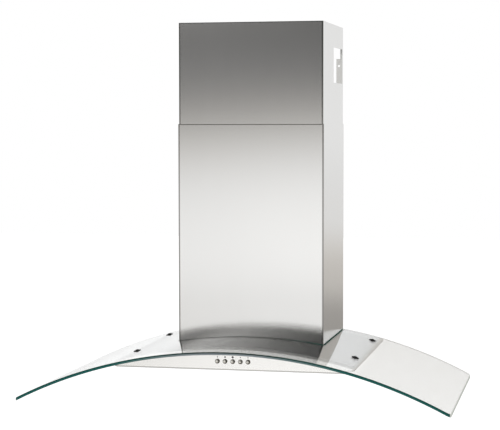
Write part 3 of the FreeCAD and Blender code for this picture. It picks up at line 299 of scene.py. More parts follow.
def strips(loops):
    """The points and edges of the closed loops and of straight lines from front to back over them."""
    points = [point for loop in loops for point in loop]
    edges, first = [], 0
    for loop in loops:
        count = len(loop)
        edges += [(first + i, first + (i + 1) % count) for i in range(count)]
        first += count
    for step in range(1, round(2 * GLASS_HALF_WIDTH / ARC_STEP)):
        across = -GLASS_HALF_WIDTH + step * ARC_STEP
        edges.append((len(points), len(points) + 1))
        points += [Vector((across, -GLASS_DEPTH - STRIP_MARGIN)), Vector((across, STRIP_MARGIN))]
    return points, edges


def glass_surface(build, rings, radius, flip):
    """Fills the arched face between the outline and the holes, in strips across."""
    loops = [[Vector(build.points[n][:2]) for n in ring] for ring in rings]
    numbers = [n for ring in rings for n in ring]
    points, edges = strips(loops)
    result = geometry.delaunay_2d_cdt(points, edges, [], 1, SAME_POINT)
    places, faces, origins = result[0], result[2], result[3]
    matched = {}
    for index, origin in enumerate(origins):
        known = [o for o in origin if o < len(numbers)]
        if known:
            matched[index] = numbers[known[0]]
    for face in faces:
        centre = sum((places[i] for i in face), Vector((0, 0))) / len(face)
        if not inside(centre, loops[0]) or any(inside(centre, hole) for hole in loops[1:]):
            continue
        for index in face:
            if index not in matched:
                x, y = places[index]
                normal = arc_normal(x, radius) * flip
                matched[index] = build.ring([(x, y, arc_height(x, radius))], [normal])[0]
        build.face([matched[index] for index in face])


def glass_canopy(clear, ground):
    """The canopy: clear faces and holes, and a ground outline."""
    build = Build()
    outline = dense(glass_plan())
    ends = [glass_edge(build, outline, outline, 1)]
    for side in (-1, 1):
        for row in CAP_ROWS:
            top, under = (hole_plan(side, row, radius) for radius in (GLASS_TOP, GLASS_UNDER))
            ends.append(glass_edge(build, top, under, 0))
    tops, bottoms = zip(*ends)
    glass_surface(build, tops, GLASS_TOP, 1)
    glass_surface(build, bottoms, GLASS_UNDER, -1)
    build.piece("glass_canopy_ground", (clear, ground), "hood", "glass_canopy")


# The section of a cap from the crown of its dome, as radius and height over the glass
CAP_PROFILE = [
    (0.0, 0.0032),
    (0.0016, 0.0031),
    (0.0027, 0.0027),
    (0.0036, 0.0021),
    (0.0046, 0.0017),
    (0.0064, 0.0014),
    (0.0075, 0.0010),
    (0.0080, 0.0005),
    (0.0080, 0.00005),
    (0.0027, 0.00005),
    (0.0027, 0.0021),
    (0.0, 0.0021),
]


def glass_caps(material):
    """Four low domed caps over the studs, leaning with the arc."""
    build = Build()
    for side in (-1, 1):
        for row in CAP_ROWS:
            axis = arc_normal(side * CAP_PLACE, GLASS_TOP)
            build.spin(CAP_PROFILE, standing(Vector((0, row, ARC_CENTRE)) + axis * GLASS_TOP, axis))
    build.piece("glass_caps_domed", material, "hood", "glass_caps")


# Push buttons
BUTTON_COUNT = 5
BUTTON_PITCH = 0.016
BUTTON_RADIUS = 0.00465
BUTTON_PROUD = 0.0044
BUTTON_DOME = 0.0030
DOME_STEPS = 8
BUTTON_STEPS = 48
COLLAR_RADIUS = 0.006
COLLAR_THICKNESS = 0.001
COLLAR_SUNK = 0.0012
STEM_RADIUS = 0.002


def button_profile(front, back):
    """A domed head with a straight rim, its collar behind the fascia and its stem."""
    profile = []
    for step in range(DOME_STEPS):
        angle = math.pi / 2 * (1 - step / DOME_STEPS)
        profile.append((BUTTON_RADIUS * math.cos(angle), front - BUTTON_DOME * (1 - math.sin(angle))))
    collar = front - BUTTON_PROUD - COLLAR_SUNK
    under = collar - COLLAR_THICKNESS
    profile += [(BUTTON_RADIUS, front - BUTTON_DOME), (BUTTON_RADIUS, collar), (COLLAR_RADIUS, collar)]
    return profile + [(COLLAR_RADIUS, under), (STEM_RADIUS, under), (STEM_RADIUS, back), (0, back)]


def push_buttons(material):
    """The domed buttons, each on the body of its own joint."""
    for number in range(1, BUTTON_COUNT + 1):
        node = f"push_button_{number}"
        low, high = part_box(node)
        centre = (low + high) / 2
        turn = standing(Vector((centre.x, 0, centre.z)), (0, -1, 0))
        build = Build()
        build.spin(button_profile(-low.y, -high.y), turn, BUTTON_STEPS)
        build.piece(f"push_button_{number}_domed", material, f"button_{number}", node)


# Printed marks above the buttons: how far they stand proud, and their radii
MARK_RISE = 0.00004
MARK_STEPS = 24
INDICATOR_RING = 0.0021
DARK_DOT = 0.0017
# Pale strokes: how many buttons to the right of the middle one, and half the width; they stand upright
PALE_STROKES = ((-2, 0.0010), (1, 0.0009), (2, 0.0009))
STROKE_TALL = 1.6


def mark_disc(build, place, radius, tall=1.0):
    """A printed mark: a flat disc or an upright oval."""
    rings = []
    for rise in (0.0, MARK_RISE):
        angles = [2 * math.pi * step / MARK_STEPS for step in range(MARK_STEPS)]
        oval = [Vector((radius * math.cos(a), -rise, tall * radius * math.sin(a))) for a in angles]
        rings.append(build.ring([place + point for point in oval]))
    build.band(*rings)
    build.face(rings[1])


def marks(ink, faint):
    """Small printed marks above the buttons, and a printed ring round the indicator lens."""
    low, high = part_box("indicator_lens")
    middle = Vector(((low.x + high.x) / 2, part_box("front_fascia")[0].y, (low.z + high.z) / 2))
    dark, pale = Build(), Build()
    mark_disc(dark, middle, INDICATOR_RING)
    mark_disc(dark, middle - Vector((BUTTON_PITCH, 0, 0)), DARK_DOT)
    for place, radius in PALE_STROKES:
        mark_disc(pale, middle + Vector((place * BUTTON_PITCH, 0, 0)), radius, STROKE_TALL)
    dark.piece("button_marks_dark", ink, "hood")
    pale.piece("button_marks_pale", faint, "hood")


# Grease filters: the openings of their expanded metal and the strands between them
LOZENGE_ACROSS = 0.0080
LOZENGE_ALONG = 0.0125
STRAND_ALONG = 0.0014
STRAND_ACROSS = STRAND_ALONG * 0.75
STRAND_THICKNESS = 0.0007
STRAND_TWIST = 0.0005
# A lozenge's corners, right, far, left and near, each with the way that its inner edge is twisted
LOZENGE = ((1, 0, 0), (0, 1, 1), (-1, 0, 0), (0, -1, -1))


def lozenge(build, x, y, low, high):
    """One opening of expanded metal and the strands round it, kept within the sheet's box."""
    half_x, half_y = LOZENGE_ACROSS / 2, LOZENGE_ALONG / 2

    def ring(reach_x, reach_y, height, twist):
        corners = []
        for right, far, turn in LOZENGE:
            across = min(max(x + right * reach_x, low.x), high.x)
            along = min(max(y + far * reach_y, low.y), high.y)
            corners.append((across, along, height + turn * twist))
        return build.ring(corners)

    sheets = []
    for lift in (STRAND_THICKNESS / 2, -STRAND_THICKNESS / 2):
        height = (low.z + high.z) / 2 + lift
        outer = ring(half_x, half_y, height, 0)
        inner = ring(half_x - STRAND_ACROSS, half_y - STRAND_ALONG, height, STRAND_TWIST)
        sheets.append((outer, inner))
    (top, top_inner), (bottom, bottom_inner) = sheets
    build.band(top, top_inner)
    build.band(bottom_inner, bottom)
    build.band(top_inner, bottom_inner)


def filter_mesh(side, material):
    """Expanded metal: staggered lozenges whose strands are twisted out of the sheet."""
    node = f"filter_mesh_{side}"
    low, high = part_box(node)
    half_x, half_y = LOZENGE_ACROSS / 2, LOZENGE_ALONG / 2
    columns = math.ceil((high.x - low.x) / LOZENGE_ACROSS) + 1
    rows = math.ceil((high.y - low.y) / LOZENGE_ALONG * 2) + 1
    build = Build()
    for row in range(rows):
        y = low.y + row * half_y
        for column in range(columns):
            x = low.x + (column + (0.5 if row % 2 else 0.0)) * LOZENGE_ACROSS
            if x - half_x <= high.x and y - half_y <= high.y:
                lozenge(build, x, y, low, high)
    build.piece(f"filter_mesh_{side}_fine", material, f"filter_{side}", node, sharp=20)


# Node trees of the materials and the world
class Tree:
    """Short calls for adding nodes to a tree and joining them."""

    def __init__(self, tree):
        self.tree = tree

    def node(self, kind, **values):
        made = self.tree.nodes.new(kind)
        for name, value in values.items():
            setattr(made, name, value)
        return made

    def link(self, source, target):
        self.tree.links.new(source, target)

    def feed(self, target, value):
        """Gives a socket a number or a colour, or joins it to another socket."""
        if isinstance(value, bpy.types.NodeSocket):
            self.link(value, target)
        else:
            target.default_value = (*value, 1) if isinstance(value, tuple) else value

    def math(self, operation, first, second=0.0):
        made = self.node("ShaderNodeMath", operation=operation)
        self.feed(made.inputs[0], first)
        self.feed(made.inputs[1], second)
        return made.outputs["Value"]

    def times(self, first, second):
        return self.math("MULTIPLY", first, second)

    def plus(self, first, second):
        return self.math("ADD", first, second)

    def between(self, share, first, second):
        """A number that goes from the first to the second as a share goes from 0 to 1."""
        rest = self.math("SUBTRACT", 1.0, share)
        return self.plus(self.times(first, rest), self.times(second, share))

    def blended(self, share, first, second):
        """A colour that goes from the first to the second as a share goes from 0 to 1."""
        mix = self.node("ShaderNodeMix", data_type="RGBA")
        self.link(share, mix.inputs["Factor"])
        colours = [socket for socket in mix.inputs if socket.type == "RGBA"]
        self.feed(colours[0], first)
        self.feed(colours[1], second)
        return next(socket for socket in mix.outputs if socket.type == "RGBA")

    def ranged(self, source, low, high, start=0.3, end=0.7, course="LINEAR"):
        """A value from low to high as the source goes from start to end."""
        spread = self.node("ShaderNodeMapRange", interpolation_type=course)
        self.link(source, spread.inputs["Value"])
        for name, value in (("From Min", start), ("From Max", end), ("To Min", low), ("To Max", high)):
            spread.inputs[name].default_value = value
        return spread.outputs["Result"]

    def eased(self, source, low, high, start, end):
        """The same with a soft start and a soft end."""
        return self.ranged(source, low, high, start, end, "SMOOTHSTEP")

    def profile(self, source, stops):
        """A level that follows the source through the given stops."""
        level = stops[0][1]
        for (start, low), (end, high) in zip(stops, stops[1:]):
            level = self.plus(level, self.eased(source, 0.0, high - low, start, end))
        return level

    def parts(self, source):
        """The X, Y and Z of a vector."""
        split = self.node("ShaderNodeSeparateXYZ")
        self.link(source, split.inputs["Vector"])
        return split.outputs


class Shader(Tree):
    """A material and short calls for its surface."""

    def __init__(self, name):
        self.material = bpy.data.materials.new(name)
        self.material.use_nodes = True
        super().__init__(self.material.node_tree)
        self.surface = self.tree.nodes["Principled BSDF"]
        self.output = self.tree.nodes["Material Output"]
        self.place = self.node("ShaderNodeTexCoord").outputs["Object"]

    def set(self, **values):
        """Constants on the surface shader's own sockets; a name's underscores stand for spaces."""
        for name, value in values.items():
            self.surface.inputs[name.replace("_", " ")].default_value = value

    def noise(self, scale, detail, roughness=0.6, stretch=(1, 1, 1)):
        """Noise over the object's own coordinates, stretched along an axis where its factor is small."""
        mapping = self.node("ShaderNodeMapping")
        mapping.inputs["Scale"].default_value = stretch
        self.link(self.place, mapping.inputs["Vector"])
        texture = self.node("ShaderNodeTexNoise")
        for name, value in (("Scale", scale), ("Detail", detail), ("Roughness", roughness)):
            texture.inputs[name].default_value = value
        self.link(mapping.outputs["Vector"], texture.inputs["Vector"])
        return texture.outputs["Fac"]

    def axes(self):
        """The object's own X, Y and Z at each point."""
        return self.parts(self.place)

    def facing(self, output="Normal"):
        """The way that the surface faces; Backfacing, instead, is one where it is seen from behind."""
        return self.node("ShaderNodeNewGeometry").outputs[output]

    def within(self, source, low, high, soft=0.0003):
        """One where a value lies between two limits, with soft ends."""
        rise = self.ranged(source, 0, 1, low - soft, low)
        fall = self.ranged(source, 1, 0, high, high + soft)
        return self.times(rise, fall)

    def colour(self, source):
        self.link(source, self.surface.inputs["Base Color"])

    def rough(self, source):
        self.link(source, self.surface.inputs["Roughness"])

    def bump(self, source, distance, strength):
        relief = self.node("ShaderNodeBump")
        relief.inputs["Strength"].default_value = strength
        relief.inputs["Distance"].default_value = distance
        self.link(source, relief.inputs["Height"])
        self.link(relief.outputs["Normal"], self.surface.inputs["Normal"])

    def tangent(self, axis):
        direction = self.node("ShaderNodeTangent", direction_type="RADIAL", axis=axis)
        self.link(direction.outputs["Tangent"], self.surface.inputs["Tangent"])


# Brushed steel: how much each noise adds to its tone, how little the finish changes, and the tone of the
# dark lines painted on it as reflection and shade
STREAK_SHARE = 0.6
BAND_SHARE = 0.15
MOTTLE_SHARE = 0.25
GRAIN_TONES = (0.988, 1.012)
GRAIN_ROUGHNESS = 0.01
GRAIN_HEIGHT = 0.000006
GRAIN_STRENGTH = 0.06
LINE_TONE = (0.16, 0.155, 0.145)
# Between which heights of its normal a face turns into one that looks up, and how much paler that is
# painted, as painted light on faces that look up
UPWARD = (0.5, 0.8)
UPWARD_PAINTED_LIGHT = 1.02


def drawn_out(grain, factor):
    """The scale of a noise that is drawn out along the axis of the grain."""
    return tuple(factor if axis == grain else 1.0 for axis in "XYZ")


def steel_grain(made, grain):
    """The fine streaks of the grain, and a blend of them with broader bands and a faint mottle."""
    streaks = made.noise(900.0, 3.0, 0.7, drawn_out(grain, 0.012))
    bands = made.noise(60.0, 3.0, 0.5, drawn_out(grain, 0.06))
    mottle = made.noise(5.0, 2.0, 0.5)
    blend = made.plus(made.times(streaks, STREAK_SHARE), made.times(bands, BAND_SHARE))
    return streaks, made.plus(blend, made.times(mottle, MOTTLE_SHARE))


def brushed(name, grain, tone, roughness, anisotropy=0.85, lines=None, faces_up=None):
    """Sheet steel brushed along one axis: fine streaks, broader cloudy bands and a faint mottle.

    lines picks the places that are painted darker: painted reflection at folds, painted shade at a hem and a
    darker top edge;
    faces_up is the share of bare metal on faces that look up, which are made matt and painted paler as
    painted light.
    """
    made = Shader(name)
    streaks, blend = steel_grain(made, grain)
    dark, pale = (tuple(value * factor for value in tone) for factor in GRAIN_TONES)
    finish = made.blended(made.ranged(blend, 0, 1, 0.36, 0.64), dark, pale)
    if lines:
        # Painted reflection and shade: the dark lines are mixed into the colour
        finish = made.blended(lines(made), finish, LINE_TONE)
    made.colour(finish)
    made.rough(made.ranged(streaks, roughness - GRAIN_ROUGHNESS, roughness + GRAIN_ROUGHNESS))
    made.bump(streaks, GRAIN_HEIGHT, GRAIN_STRENGTH)
    made.tangent(grain)
    made.set(Metallic=1.0, Anisotropic=anisotropy)
    if faces_up is not None:
        upward = made.ranged(made.parts(made.facing())["Z"], 0, 1, *UPWARD)
        made.link(made.ranged(upward, 1.0, faces_up, 0, 1), made.surface.inputs["Metallic"])
        # Painted light: faces that look up are painted paler than the rest of the sheet
        made.colour(made.blended(upward, finish, tuple(min(1.0, value * UPWARD_PAINTED_LIGHT) for value in tone)))
    return made.material


# Dark lines painted on the steel, how wide they are and how far they cover it: painted reflection down the
# front folds, painted shade and dark reflection along the hem, and a darker line along a chimney's top edge
FOLD_WIDTH = 0.0032
FOLD_DEPTH = 0.0019
FOLD_PAINTED_REFLECTION = 0.75
TOP_EDGE_LINE_WIDTHS = {"lower_chimney": 0.0019, "upper_chimney": 0.0015}
TOP_EDGE_LINE_COVER = 0.8
HEM_WIDTH = 0.0026
HEM_PAINTED_SHADE = 0.52
# A limit that lies past every piece
BEYOND = 1


def fold_reflection_and_top_lines(node):
    """Painted reflection as dark lines down the folds at the front corners of a chimney, and a darker line
    along its top edge.
    """
    low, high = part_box(node)

    def lines(made):
        across, depth, height = made.axes()
        front = made.within(depth, low.y - BEYOND, low.y + FOLD_DEPTH)
        # Painted reflection: a dark line down each front fold, where the bend would mirror the dark
        fold = made.within(made.math("ABSOLUTE", across), high.x - FOLD_WIDTH, high.x + BEYOND)
        # A darker line along the top edge of the sheet
        top_edge_line = made.within(height, high.z - TOP_EDGE_LINE_WIDTHS[node], high.z + BEYOND)
        fold = made.times(made.times(fold, front), FOLD_PAINTED_REFLECTION)
        top_edge_line = made.times(made.times(top_edge_line, front), TOP_EDGE_LINE_COVER)
        return made.math("MAXIMUM", fold, top_edge_line)

    return lines


def hem_shade_lines(made):
    """Painted shade and dark reflection along the hem at the bottom of the body."""
    # Painted shade: the bottom strip of the fascia is darkened
    return made.times(made.within(made.axes()[2], -BEYOND, HEM_WIDTH), HEM_PAINTED_SHADE)


# Glass
def canopy_glass():
    """Clear tempered glass whose tint shows only through its edges, where light travels far in it."""
    made = Shader("canopy_glass")
    made.set(Base_Color=(1, 1, 1, 1), Roughness=0.0, IOR=1.5)
    made.set(Transmission_Weight=1.0)
    tint = made.node("ShaderNodeVolumeAbsorption")
    tint.inputs["Color"].default_value = (0.30, 0.78, 0.74, 1)
    tint.inputs["Density"].default_value = 2.5
    made.link(tint.outputs["Volume"], made.output.inputs["Volume"])
    haze = made.noise(14.0, 3.0, 0.5)
    made.rough(made.ranged(haze, 0.0, 0.012))
    return made.material


# Ground rims: two tones each for the front edge, its arris and the notch, and one for the ends; the teal is
# the glass's own, the changes of tone from place to place are painted reflection and shade
FRONT_TONES = ((0.23, 0.26, 0.275), (0.012, 0.105, 0.092))
ARRIS_TONES = ((0.016, 0.030, 0.025), (0.006, 0.060, 0.050))
NOTCH_TONES = ((0.050, 0.054, 0.050), (0.018, 0.17, 0.13))
END_TONE = (0.66, 0.68, 0.63)
GRIT_TONE = (0.02, 0.05, 0.045)
GRIT_SHARE = 0.12
# Where the front turns from its first tone to the second, going outwards, and the notch, going right
FRONT_TURN = (0.06, 0.24)
NOTCH_TURN = (0.06, 0.15)
ARRIS_WIDTH = 0.0022
ARRIS_SOFT = 0.0008
END_WIDTH = 0.002
BACK_WIDTH = 0.003
NOTCH_WIDTH = 0.003
NOTCH_BACK = -0.004


def ground_glass():
    """The ground rims of the glass: teal, with painted reflection and shade that make them greyer in the
    middle of the front, dark at the arris, and pale behind and at the ends.
    """
    made = Shader("canopy_ground_edge")
    across, depth, height = made.axes()
    side = made.math("ABSOLUTE", across)
    level = made.plus(height, -ARC_CENTRE)
    radius = made.math("POWER", made.plus(made.times(across, across), made.times(level, level)), 0.5)
    arris = made.within(radius, GLASS_TOP - ARRIS_WIDTH, GLASS_TOP + BEYOND, ARRIS_SOFT)
    outward = made.ranged(side, 0, 1, *FRONT_TURN)
    # Painted reflection and shade: the rims' tones change with their place
    front = made.blended(arris, made.blended(outward, *FRONT_TONES), made.blended(outward, *ARRIS_TONES))
    notch = made.within(depth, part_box("lower_chimney")[0].y - NOTCH_WIDTH, NOTCH_BACK)
    walls = made.blended(made.ranged(across, 0, 1, *NOTCH_TURN), *NOTCH_TONES)
    ends = made.within(side, GLASS_HALF_WIDTH - END_WIDTH, BEYOND)
    ends = made.math("MAXIMUM", ends, made.within(depth, -BACK_WIDTH, BEYOND))
    tone = made.blended(ends, made.blended(notch, front, walls), END_TONE)
    grit = made.noise(1500.0, 3.0)
    made.colour(made.blended(made.times(grit, GRIT_SHARE), tone, GRIT_TONE))
    made.rough(made.ranged(grit, 0.45, 0.6))
    made.bump(grit, 0.00002, 0.4)
    made.set(IOR=1.45, Specular_IOR_Level=0.12)
    return made.material


def frosted_glass(name, roughness, colour):
    """Glass or silicone that lets light through and spreads it."""
    made = Shader(name)
    grit = made.noise(1800.0, 2.0)
    made.rough(made.ranged(grit, roughness, roughness + 0.12))
    made.bump(grit, 0.00005, 0.5)
    made.set(Base_Color=(*colour, 1), IOR=1.5)
    made.set(Transmission_Weight=0.6)
    return made.material


# Plastics and plain metals by slot: the dark and pale tone of each, and its roughness
PLASTICS = {
    "black_plastic": ((0.010, 0.010, 0.011), (0.018, 0.018, 0.019), 0.36),
    "fan_plastic": ((0.03, 0.03, 0.032), (0.05, 0.05, 0.052), 0.45),
    "damper_plastic": ((0.09, 0.09, 0.095), (0.13, 0.13, 0.135), 0.5),
    "latch_plastic": ((0.05, 0.05, 0.053), (0.08, 0.08, 0.083), 0.42),
}
METALS = {
    "filter_aluminium": ((0.62, 0.62, 0.63), (0.76, 0.76, 0.77), 0.36),
    "can_aluminium": ((0.66, 0.66, 0.67), (0.8, 0.8, 0.81), 0.3),
    "lamp_chrome": ((0.72, 0.72, 0.73), (0.82, 0.82, 0.83), 0.14),
    "stud_steel": ((0.48, 0.48, 0.48), (0.6, 0.6, 0.6), 0.3),
    "zinc_screws": ((0.55, 0.55, 0.53), (0.68, 0.68, 0.66), 0.28),
}


def moulded(name, dark, pale, roughness, gloss=0.5):
    """Moulded plastic or rubber: a fine spark-eroded grain and a faint change of tone."""
    made = Shader(name)
    pores = made.noise(900.0, 3.0)
    clouds = made.noise(25.0, 2.0)
    made.colour(made.blended(made.ranged(clouds, 0, 1), dark, pale))
    made.rough(made.ranged(pores, roughness - 0.06, roughness + 0.08))
    made.bump(pores, 0.00003, 0.5)
    made.set(Specular_IOR_Level=gloss)
    return made.material


def turned_metal(name, dark, pale, roughness):
    """Plated or turned metal with faint tool marks and a little haze."""
    made = Shader(name)
    tooling = made.noise(500.0, 3.0)
    haze = made.noise(40.0, 2.0)
    made.colour(made.blended(made.ranged(haze, 0, 1), dark, pale))
    made.rough(made.ranged(tooling, roughness - 0.04, roughness + 0.08))
    made.bump(tooling, 0.00001, 0.4)
    made.set(Metallic=1.0)
    return made.material


def galvanised():
    """Zinc coated sheet: angular crystals of slightly different greys."""
    made = Shader("galvanised_steel")
    spangle = made.node("ShaderNodeTexVoronoi", feature="F1")
    spangle.inputs["Scale"].default_value = 160.0
    made.link(made.place, spangle.inputs["Vector"])
    grey = made.node("ShaderNodeSeparateColor")
    made.link(spangle.outputs["Color"], grey.inputs["Color"])
    fine = made.noise(700.0, 3.0)
    made.colour(made.blended(grey.outputs["Red"], (0.48, 0.50, 0.52), (0.66, 0.68, 0.70)))
    made.rough(made.ranged(grey.outputs["Green"], 0.30, 0.46, 0.0, 1.0))
    made.bump(fine, 0.00002, 0.4)
    made.set(Metallic=1.0)
    return made.material


def ceramic():
    """Unglazed steatite of the lamp holders."""
    made = Shader("holder_ceramic")
    grit = made.noise(900.0, 4.0)
    made.colour(made.blended(made.ranged(grit, 0, 1), (0.74, 0.70, 0.62), (0.86, 0.83, 0.76)))
    made.rough(made.ranged(grit, 0.6, 0.85))
    made.bump(grit, 0.00005, 0.6)
    return made.material


def enamel():
    """Dark motor enamel with a light orange peel."""
    made = Shader("motor_enamel")
    peel = made.noise(260.0, 2.0)
    made.colour(made.blended(made.ranged(peel, 0, 1), (0.045, 0.046, 0.05), (0.075, 0.077, 0.08)))
    made.rough(made.ranged(peel, 0.34, 0.46))
    made.bump(peel, 0.00008, 0.5)
    made.set(Coat_Weight=0.3)
    return made.material


def braided():
    """A braided sleeve: two crossing rows of fine waves."""
    made = Shader("loom_sleeve")
    crossed = []
    for slope in (0.8, -0.8):
        mapping = made.node("ShaderNodeMapping")
        mapping.inputs["Rotation"].default_value = (slope, slope, slope)
        made.link(made.place, mapping.inputs["Vector"])
        wave = made.node("ShaderNodeTexWave", wave_type="BANDS")
        wave.inputs["Scale"].default_value = 260.0
        made.link(mapping.outputs["Vector"], wave.inputs["Vector"])
        crossed.append(wave.outputs["Fac"])
    weave = made.math("MAXIMUM", *crossed)
    made.colour(made.blended(weave, (0.012, 0.012, 0.013), (0.05, 0.05, 0.052)))
    made.rough(made.ranged(weave, 0.55, 0.75, 0.0, 1.0))
    made.bump(weave, 0.0003, 0.7)
    return made.material


# The way that the painted highlight on a button's dome faces, a little to the left and up, and where it
# fades into painted shade
PAINTED_HIGHLIGHT_FACING = Vector((-0.14, -0.98, 0.10)).normalized()
PAINTED_HIGHLIGHT_TURN = (0.76, 0.99)


def button_painted_light():
    """Satin chromed domes with a painted highlight at the crown and painted shade round the shoulder, more
    so on the right.
    """
    made = Shader("button_metal")
    tooling = made.noise(700.0, 3.0)
    toward = made.node("ShaderNodeVectorMath", operation="DOT_PRODUCT")
    made.link(made.facing(), toward.inputs[0])
    toward.inputs[1].default_value = PAINTED_HIGHLIGHT_FACING
    # Painted highlight and shade: pale where the dome faces up and left, dark round the shoulder
    painted_highlight = made.ranged(toward.outputs["Value"], 0, 1, *PAINTED_HIGHLIGHT_TURN)
    made.colour(made.blended(painted_highlight, (0.085, 0.078, 0.060), (0.90, 0.89, 0.84)))
    made.rough(made.ranged(tooling, 0.22, 0.34))
    made.bump(tooling, 0.00001, 0.3)
    made.set(Metallic=1.0)
    return made.material


def indicator():
    """The dark red lens of the indicator, unlit."""
    made = Shader("indicator_red")
    cells = made.noise(1200.0, 2.0)
    made.colour(made.blended(made.ranged(cells, 0, 1), (0.022, 0.003, 0.003), (0.04, 0.006, 0.006)))
    made.rough(made.ranged(cells, 0.2, 0.3))
    made.set(Specular_IOR_Level=0.25)
    return made.material


# Tones of the brushed sheets
CHIMNEY_STEEL = (0.80, 0.796, 0.783)
CROSS_STEEL = (0.86, 0.857, 0.845)
FASCIA_STEEL = (0.96, 0.95, 0.925)


def steels():
    """The finishes of the sheets, by node, with dark lines painted at their folds, top edges and hems."""
    made = {}
    for node in TOP_EDGE_LINE_WIDTHS:
        made[node] = brushed(f"steel_{node}", "Z", CHIMNEY_STEEL, 0.15, lines=fold_reflection_and_top_lines(node))
    made["front_fascia"] = brushed("steel_fascia", "X", FASCIA_STEEL, 0.22, 0.6, hem_shade_lines, 0.0)
    return made


def slot_finishes():
    """The finishes of the record's material slots, apart from brushed steel."""
    made = {
        "canopy_glass": canopy_glass(),
        "washer_silicone": frosted_glass("washer_silicone", 0.35, (0.93, 0.94, 0.93)),
        "lamp_glass": frosted_glass("lamp_glass", 0.3, (0.97, 0.97, 0.95)),
        "holder_ceramic": ceramic(),
        "button_metal": button_painted_light(),
        "indicator_red": indicator(),
        "galvanised_steel": galvanised(),
        "motor_enamel": enamel(),
        "loom_sleeve": braided(),
    }
    made.update({slot: moulded(slot, *look) for slot, look in PLASTICS.items()})
    made.update({slot: turned_metal(slot, *look) for slot, look in METALS.items()})
    return made


def fine_pieces(finishes):
    """Pieces shaped finer than the CAD solids that they stand for."""
    ink = moulded("mark_ink", (0.012, 0.012, 0.012), (0.02, 0.02, 0.02), 0.6, gloss=0.2)
    faint = moulded("faint_ink", (0.28, 0.28, 0.28), (0.36, 0.36, 0.36), 0.6)
    glass_canopy(finishes["canopy_glass"], ground_glass())
    glass_caps(moulded("cap_plastic", (0.004, 0.004, 0.004), (0.008, 0.008, 0.008), 0.5, gloss=0.15))
    push_buttons(finishes["button_metal"])
    marks(ink, faint)
    for side in ("left", "right"):
        filter_mesh(side, finishes["filter_aluminium"])


def dress():
    """Gives every node of the frame its material and adds the finer pieces."""
    by_node = steels()
    by_slot = slot_finishes()
    cross_grain = brushed("steel_cross_grain", "X", CROSS_STEEL, 0.13, 0.7)
    fine_pieces(by_slot)
    for part in frame["record"]["subparts"]:
        node = part["node"]
        finish = by_node.get(node) or by_slot.get(part["material_slot"], cross_grain)
        slots = NODES[node].data.materials
        for index in range(len(slots)):
            slots[index] = finish
        if not slots:
            slots.append(finish)


# Stage
FLOOR_LEVEL = -0.9
FLOOR_SIZE = 30.0
FLOOR_TONE = (0.8, 0.8, 0.8)
# The floor's own light where it is seen straight or through glass, which brings it up to white
FLOOR_GLOW = 0.62
# How bright the world is for matt surfaces
AMBIENT = 0.6
WHITE = (1.0, 1.0, 1.0)
# The half tones of the studio are a little warmer: the levels between which this grows and goes again
WARM = (1.03, 0.985, 0.93)
WARM_RISE = (0.20, 0.35)
WARM_FALL = (0.90, 0.60)

# What polished and brushed surfaces reflect, by the height of a direction's unit vector
STUDIO_FRONT = [
    (-1.0, 0.60),
    (-0.42, 0.70),
    (-0.26, 1.16),
    (-0.20, 1.22),
    (-0.145, 1.16),
    (-0.128, 0.92),
    (-0.115, 0.91),
    (-0.095, 1.20),
    (-0.057, 1.16),
    (-0.035, 1.07),
    (-0.016, 0.855),
    (0.004, 0.49),
    (0.030, 0.23),
    (0.060, 0.12),
    (0.10, 0.05),
    (0.20, 0.03),
    (0.34, 0.16),
    (0.62, 0.70),
    (1.0, 0.60),
]
STUDIO_REAR = [
    (-1.0, 0.60),
    (-0.16, 0.35),
    (-0.125, 0.365),
    (-0.10, 0.59),
    (-0.06, 0.83),
    (0.0, 0.90),
    (0.30, 0.90),
    (1.0, 0.62),
]
# Patches near the horizon: where they start and are full across, the same in height, how much they add
FRONT_PATCHES = [
    ((-0.198, -0.262), (0.066, 0.090), 0.82),
    ((-0.205, -0.250), (0.045, 0.0), -0.20),
    ((-0.215, -0.255), (-0.090, -0.120), 0.22),
    ((-0.192, -0.172), (-0.008, 0.008), -0.10),
    ((-0.192, -0.172), (0.033, 0.055), 0.08),
    ((-0.275, -0.302), (-0.10, -0.13), -0.42),
]
REAR_PATCH = ((-0.057, -0.036), (0.09, 0.13), -0.35)
# A pale screen on the left: its place, its levels above and below a turn, and the heights of that turn
LEFT_SCREEN = ((-0.12, -0.24), (0.10, 0.05))
LEFT_LEVELS = (1.12, 0.99)
LEFT_TURN = (0.035, -0.01)
# How far up and down the patches and the screen reach, and where front turns into rear
PATCHES_FADE = (0.28, 0.42)
REAR_TURN = (-0.25, 0.25)


def studio_level(make):
    """How bright the studio is in a direction: dim above the horizon in front, paler behind."""
    across, depth, height = make.parts(make.node("ShaderNodeTexCoord").outputs["Generated"])
    near = make.eased(make.math("ABSOLUTE", height), 1.0, 0.0, *PATCHES_FADE)

    def patch(sideways, upward, change):
        wide = make.times(near, make.eased(across, 0.0, change, *sideways))
        return make.times(wide, make.eased(height, 0.0, 1.0, *upward))

    front = make.profile(height, STUDIO_FRONT)
    for place in FRONT_PATCHES:
        front = make.plus(front, patch(*place))
    rear = make.plus(make.profile(height, STUDIO_REAR), patch(*REAR_PATCH))
    screen = make.eased(height, *LEFT_LEVELS, *LEFT_TURN)
    rear = make.between(patch(*LEFT_SCREEN, 1.0), rear, screen)
    return make.between(make.eased(depth, 0.0, 1.0, *REAR_TURN), front, rear)


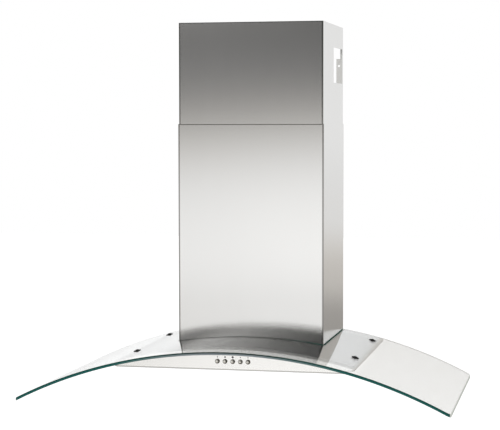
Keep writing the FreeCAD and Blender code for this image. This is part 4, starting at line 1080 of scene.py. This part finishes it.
def world():
    """A white backdrop, seen straight or through the glass; mirroring surfaces see the studio."""
    sky = bpy.data.worlds.new("studio")
    sky.use_nodes = True
    make = Tree(sky.node_tree)
    background = make.tree.nodes["Background"].inputs
    path = make.node("ShaderNodeLightPath").outputs
    mirrored = make.math("MINIMUM", path["Glossy Depth"], 1.0)
    scattered = make.math("MINIMUM", path["Diffuse Depth"], 1.0)
    plain = make.plus(1.0, make.times(scattered, AMBIENT - 1.0))
    level = studio_level(make)
    studio = make.math("SUBTRACT", level, plain)
    make.link(make.plus(plain, make.times(mirrored, studio)), background["Strength"])
    warmth = make.times(make.eased(level, 0.0, 1.0, *WARM_RISE), make.eased(level, 0.0, 1.0, *WARM_FALL))
    make.link(make.blended(make.times(warmth, mirrored), WHITE, WARM), background["Color"])
    bpy.context.scene.world = sky


def floor():
    """A pale floor far below, white where it is seen, which keeps the object's shadow.

    It is clear from underneath, so that it hides nothing from a camera below it.
    """
    mesh = bpy.data.meshes.new("floor")
    half = FLOOR_SIZE / 2
    corners = [(-half, -half, 0), (half, -half, 0), (half, half, 0), (-half, half, 0)]
    mesh.from_pydata(corners, [], [(0, 1, 2, 3)])
    ground = bpy.data.objects.new("floor", mesh)
    ground.location.z = FLOOR_LEVEL
    ground.visible_glossy = False
    bpy.context.scene.collection.objects.link(ground)
    made = Shader("floor")
    made.set(Base_Color=(*FLOOR_TONE, 1), Roughness=1.0, Emission_Color=(*WHITE, 1))
    made.set(Specular_IOR_Level=0.0)
    path = made.node("ShaderNodeLightPath").outputs
    seen = made.math("MAXIMUM", path["Is Camera Ray"], path["Is Transmission Ray"])
    made.link(made.times(seen, FLOOR_GLOW), made.surface.inputs["Emission Strength"])
    made.link(made.math("SUBTRACT", 1.0, made.facing("Backfacing")), made.surface.inputs["Alpha"])
    mesh.materials.append(made.material)


def lamp(name, place, aim, width, height, power):
    """A soft lamp that lights the object and is itself neither seen nor mirrored."""
    data = bpy.data.lights.new(name, "AREA")
    data.shape = "RECTANGLE"
    data.size, data.size_y = width, height
    data.energy = power
    light = bpy.data.objects.new(name, data)
    light.location = place
    light.rotation_euler = (Vector(aim) - Vector(place)).to_track_quat("-Z", "Y").to_euler()
    bpy.context.scene.collection.objects.link(light)
    light.visible_camera = False
    light.visible_glossy = False
    light.visible_transmission = False


def lights():
    """The key lamp on the left, a fill on the right and one from above."""
    lamp("key", (-2.6, -3.4, 2.4), (0, -0.2, 0.2), 2.2, 2.2, 60)
    lamp("fill", (3.0, -2.6, 1.4), (0, -0.2, 0.2), 2.0, 2.4, 30)
    lamp("top", (0, -0.8, 3.2), (0, -0.2, 0.0), 2.5, 2.0, 30)


dress()
camera()
world()
floor()
lights()
bpy.context.scene.view_settings.view_transform = "Standard"
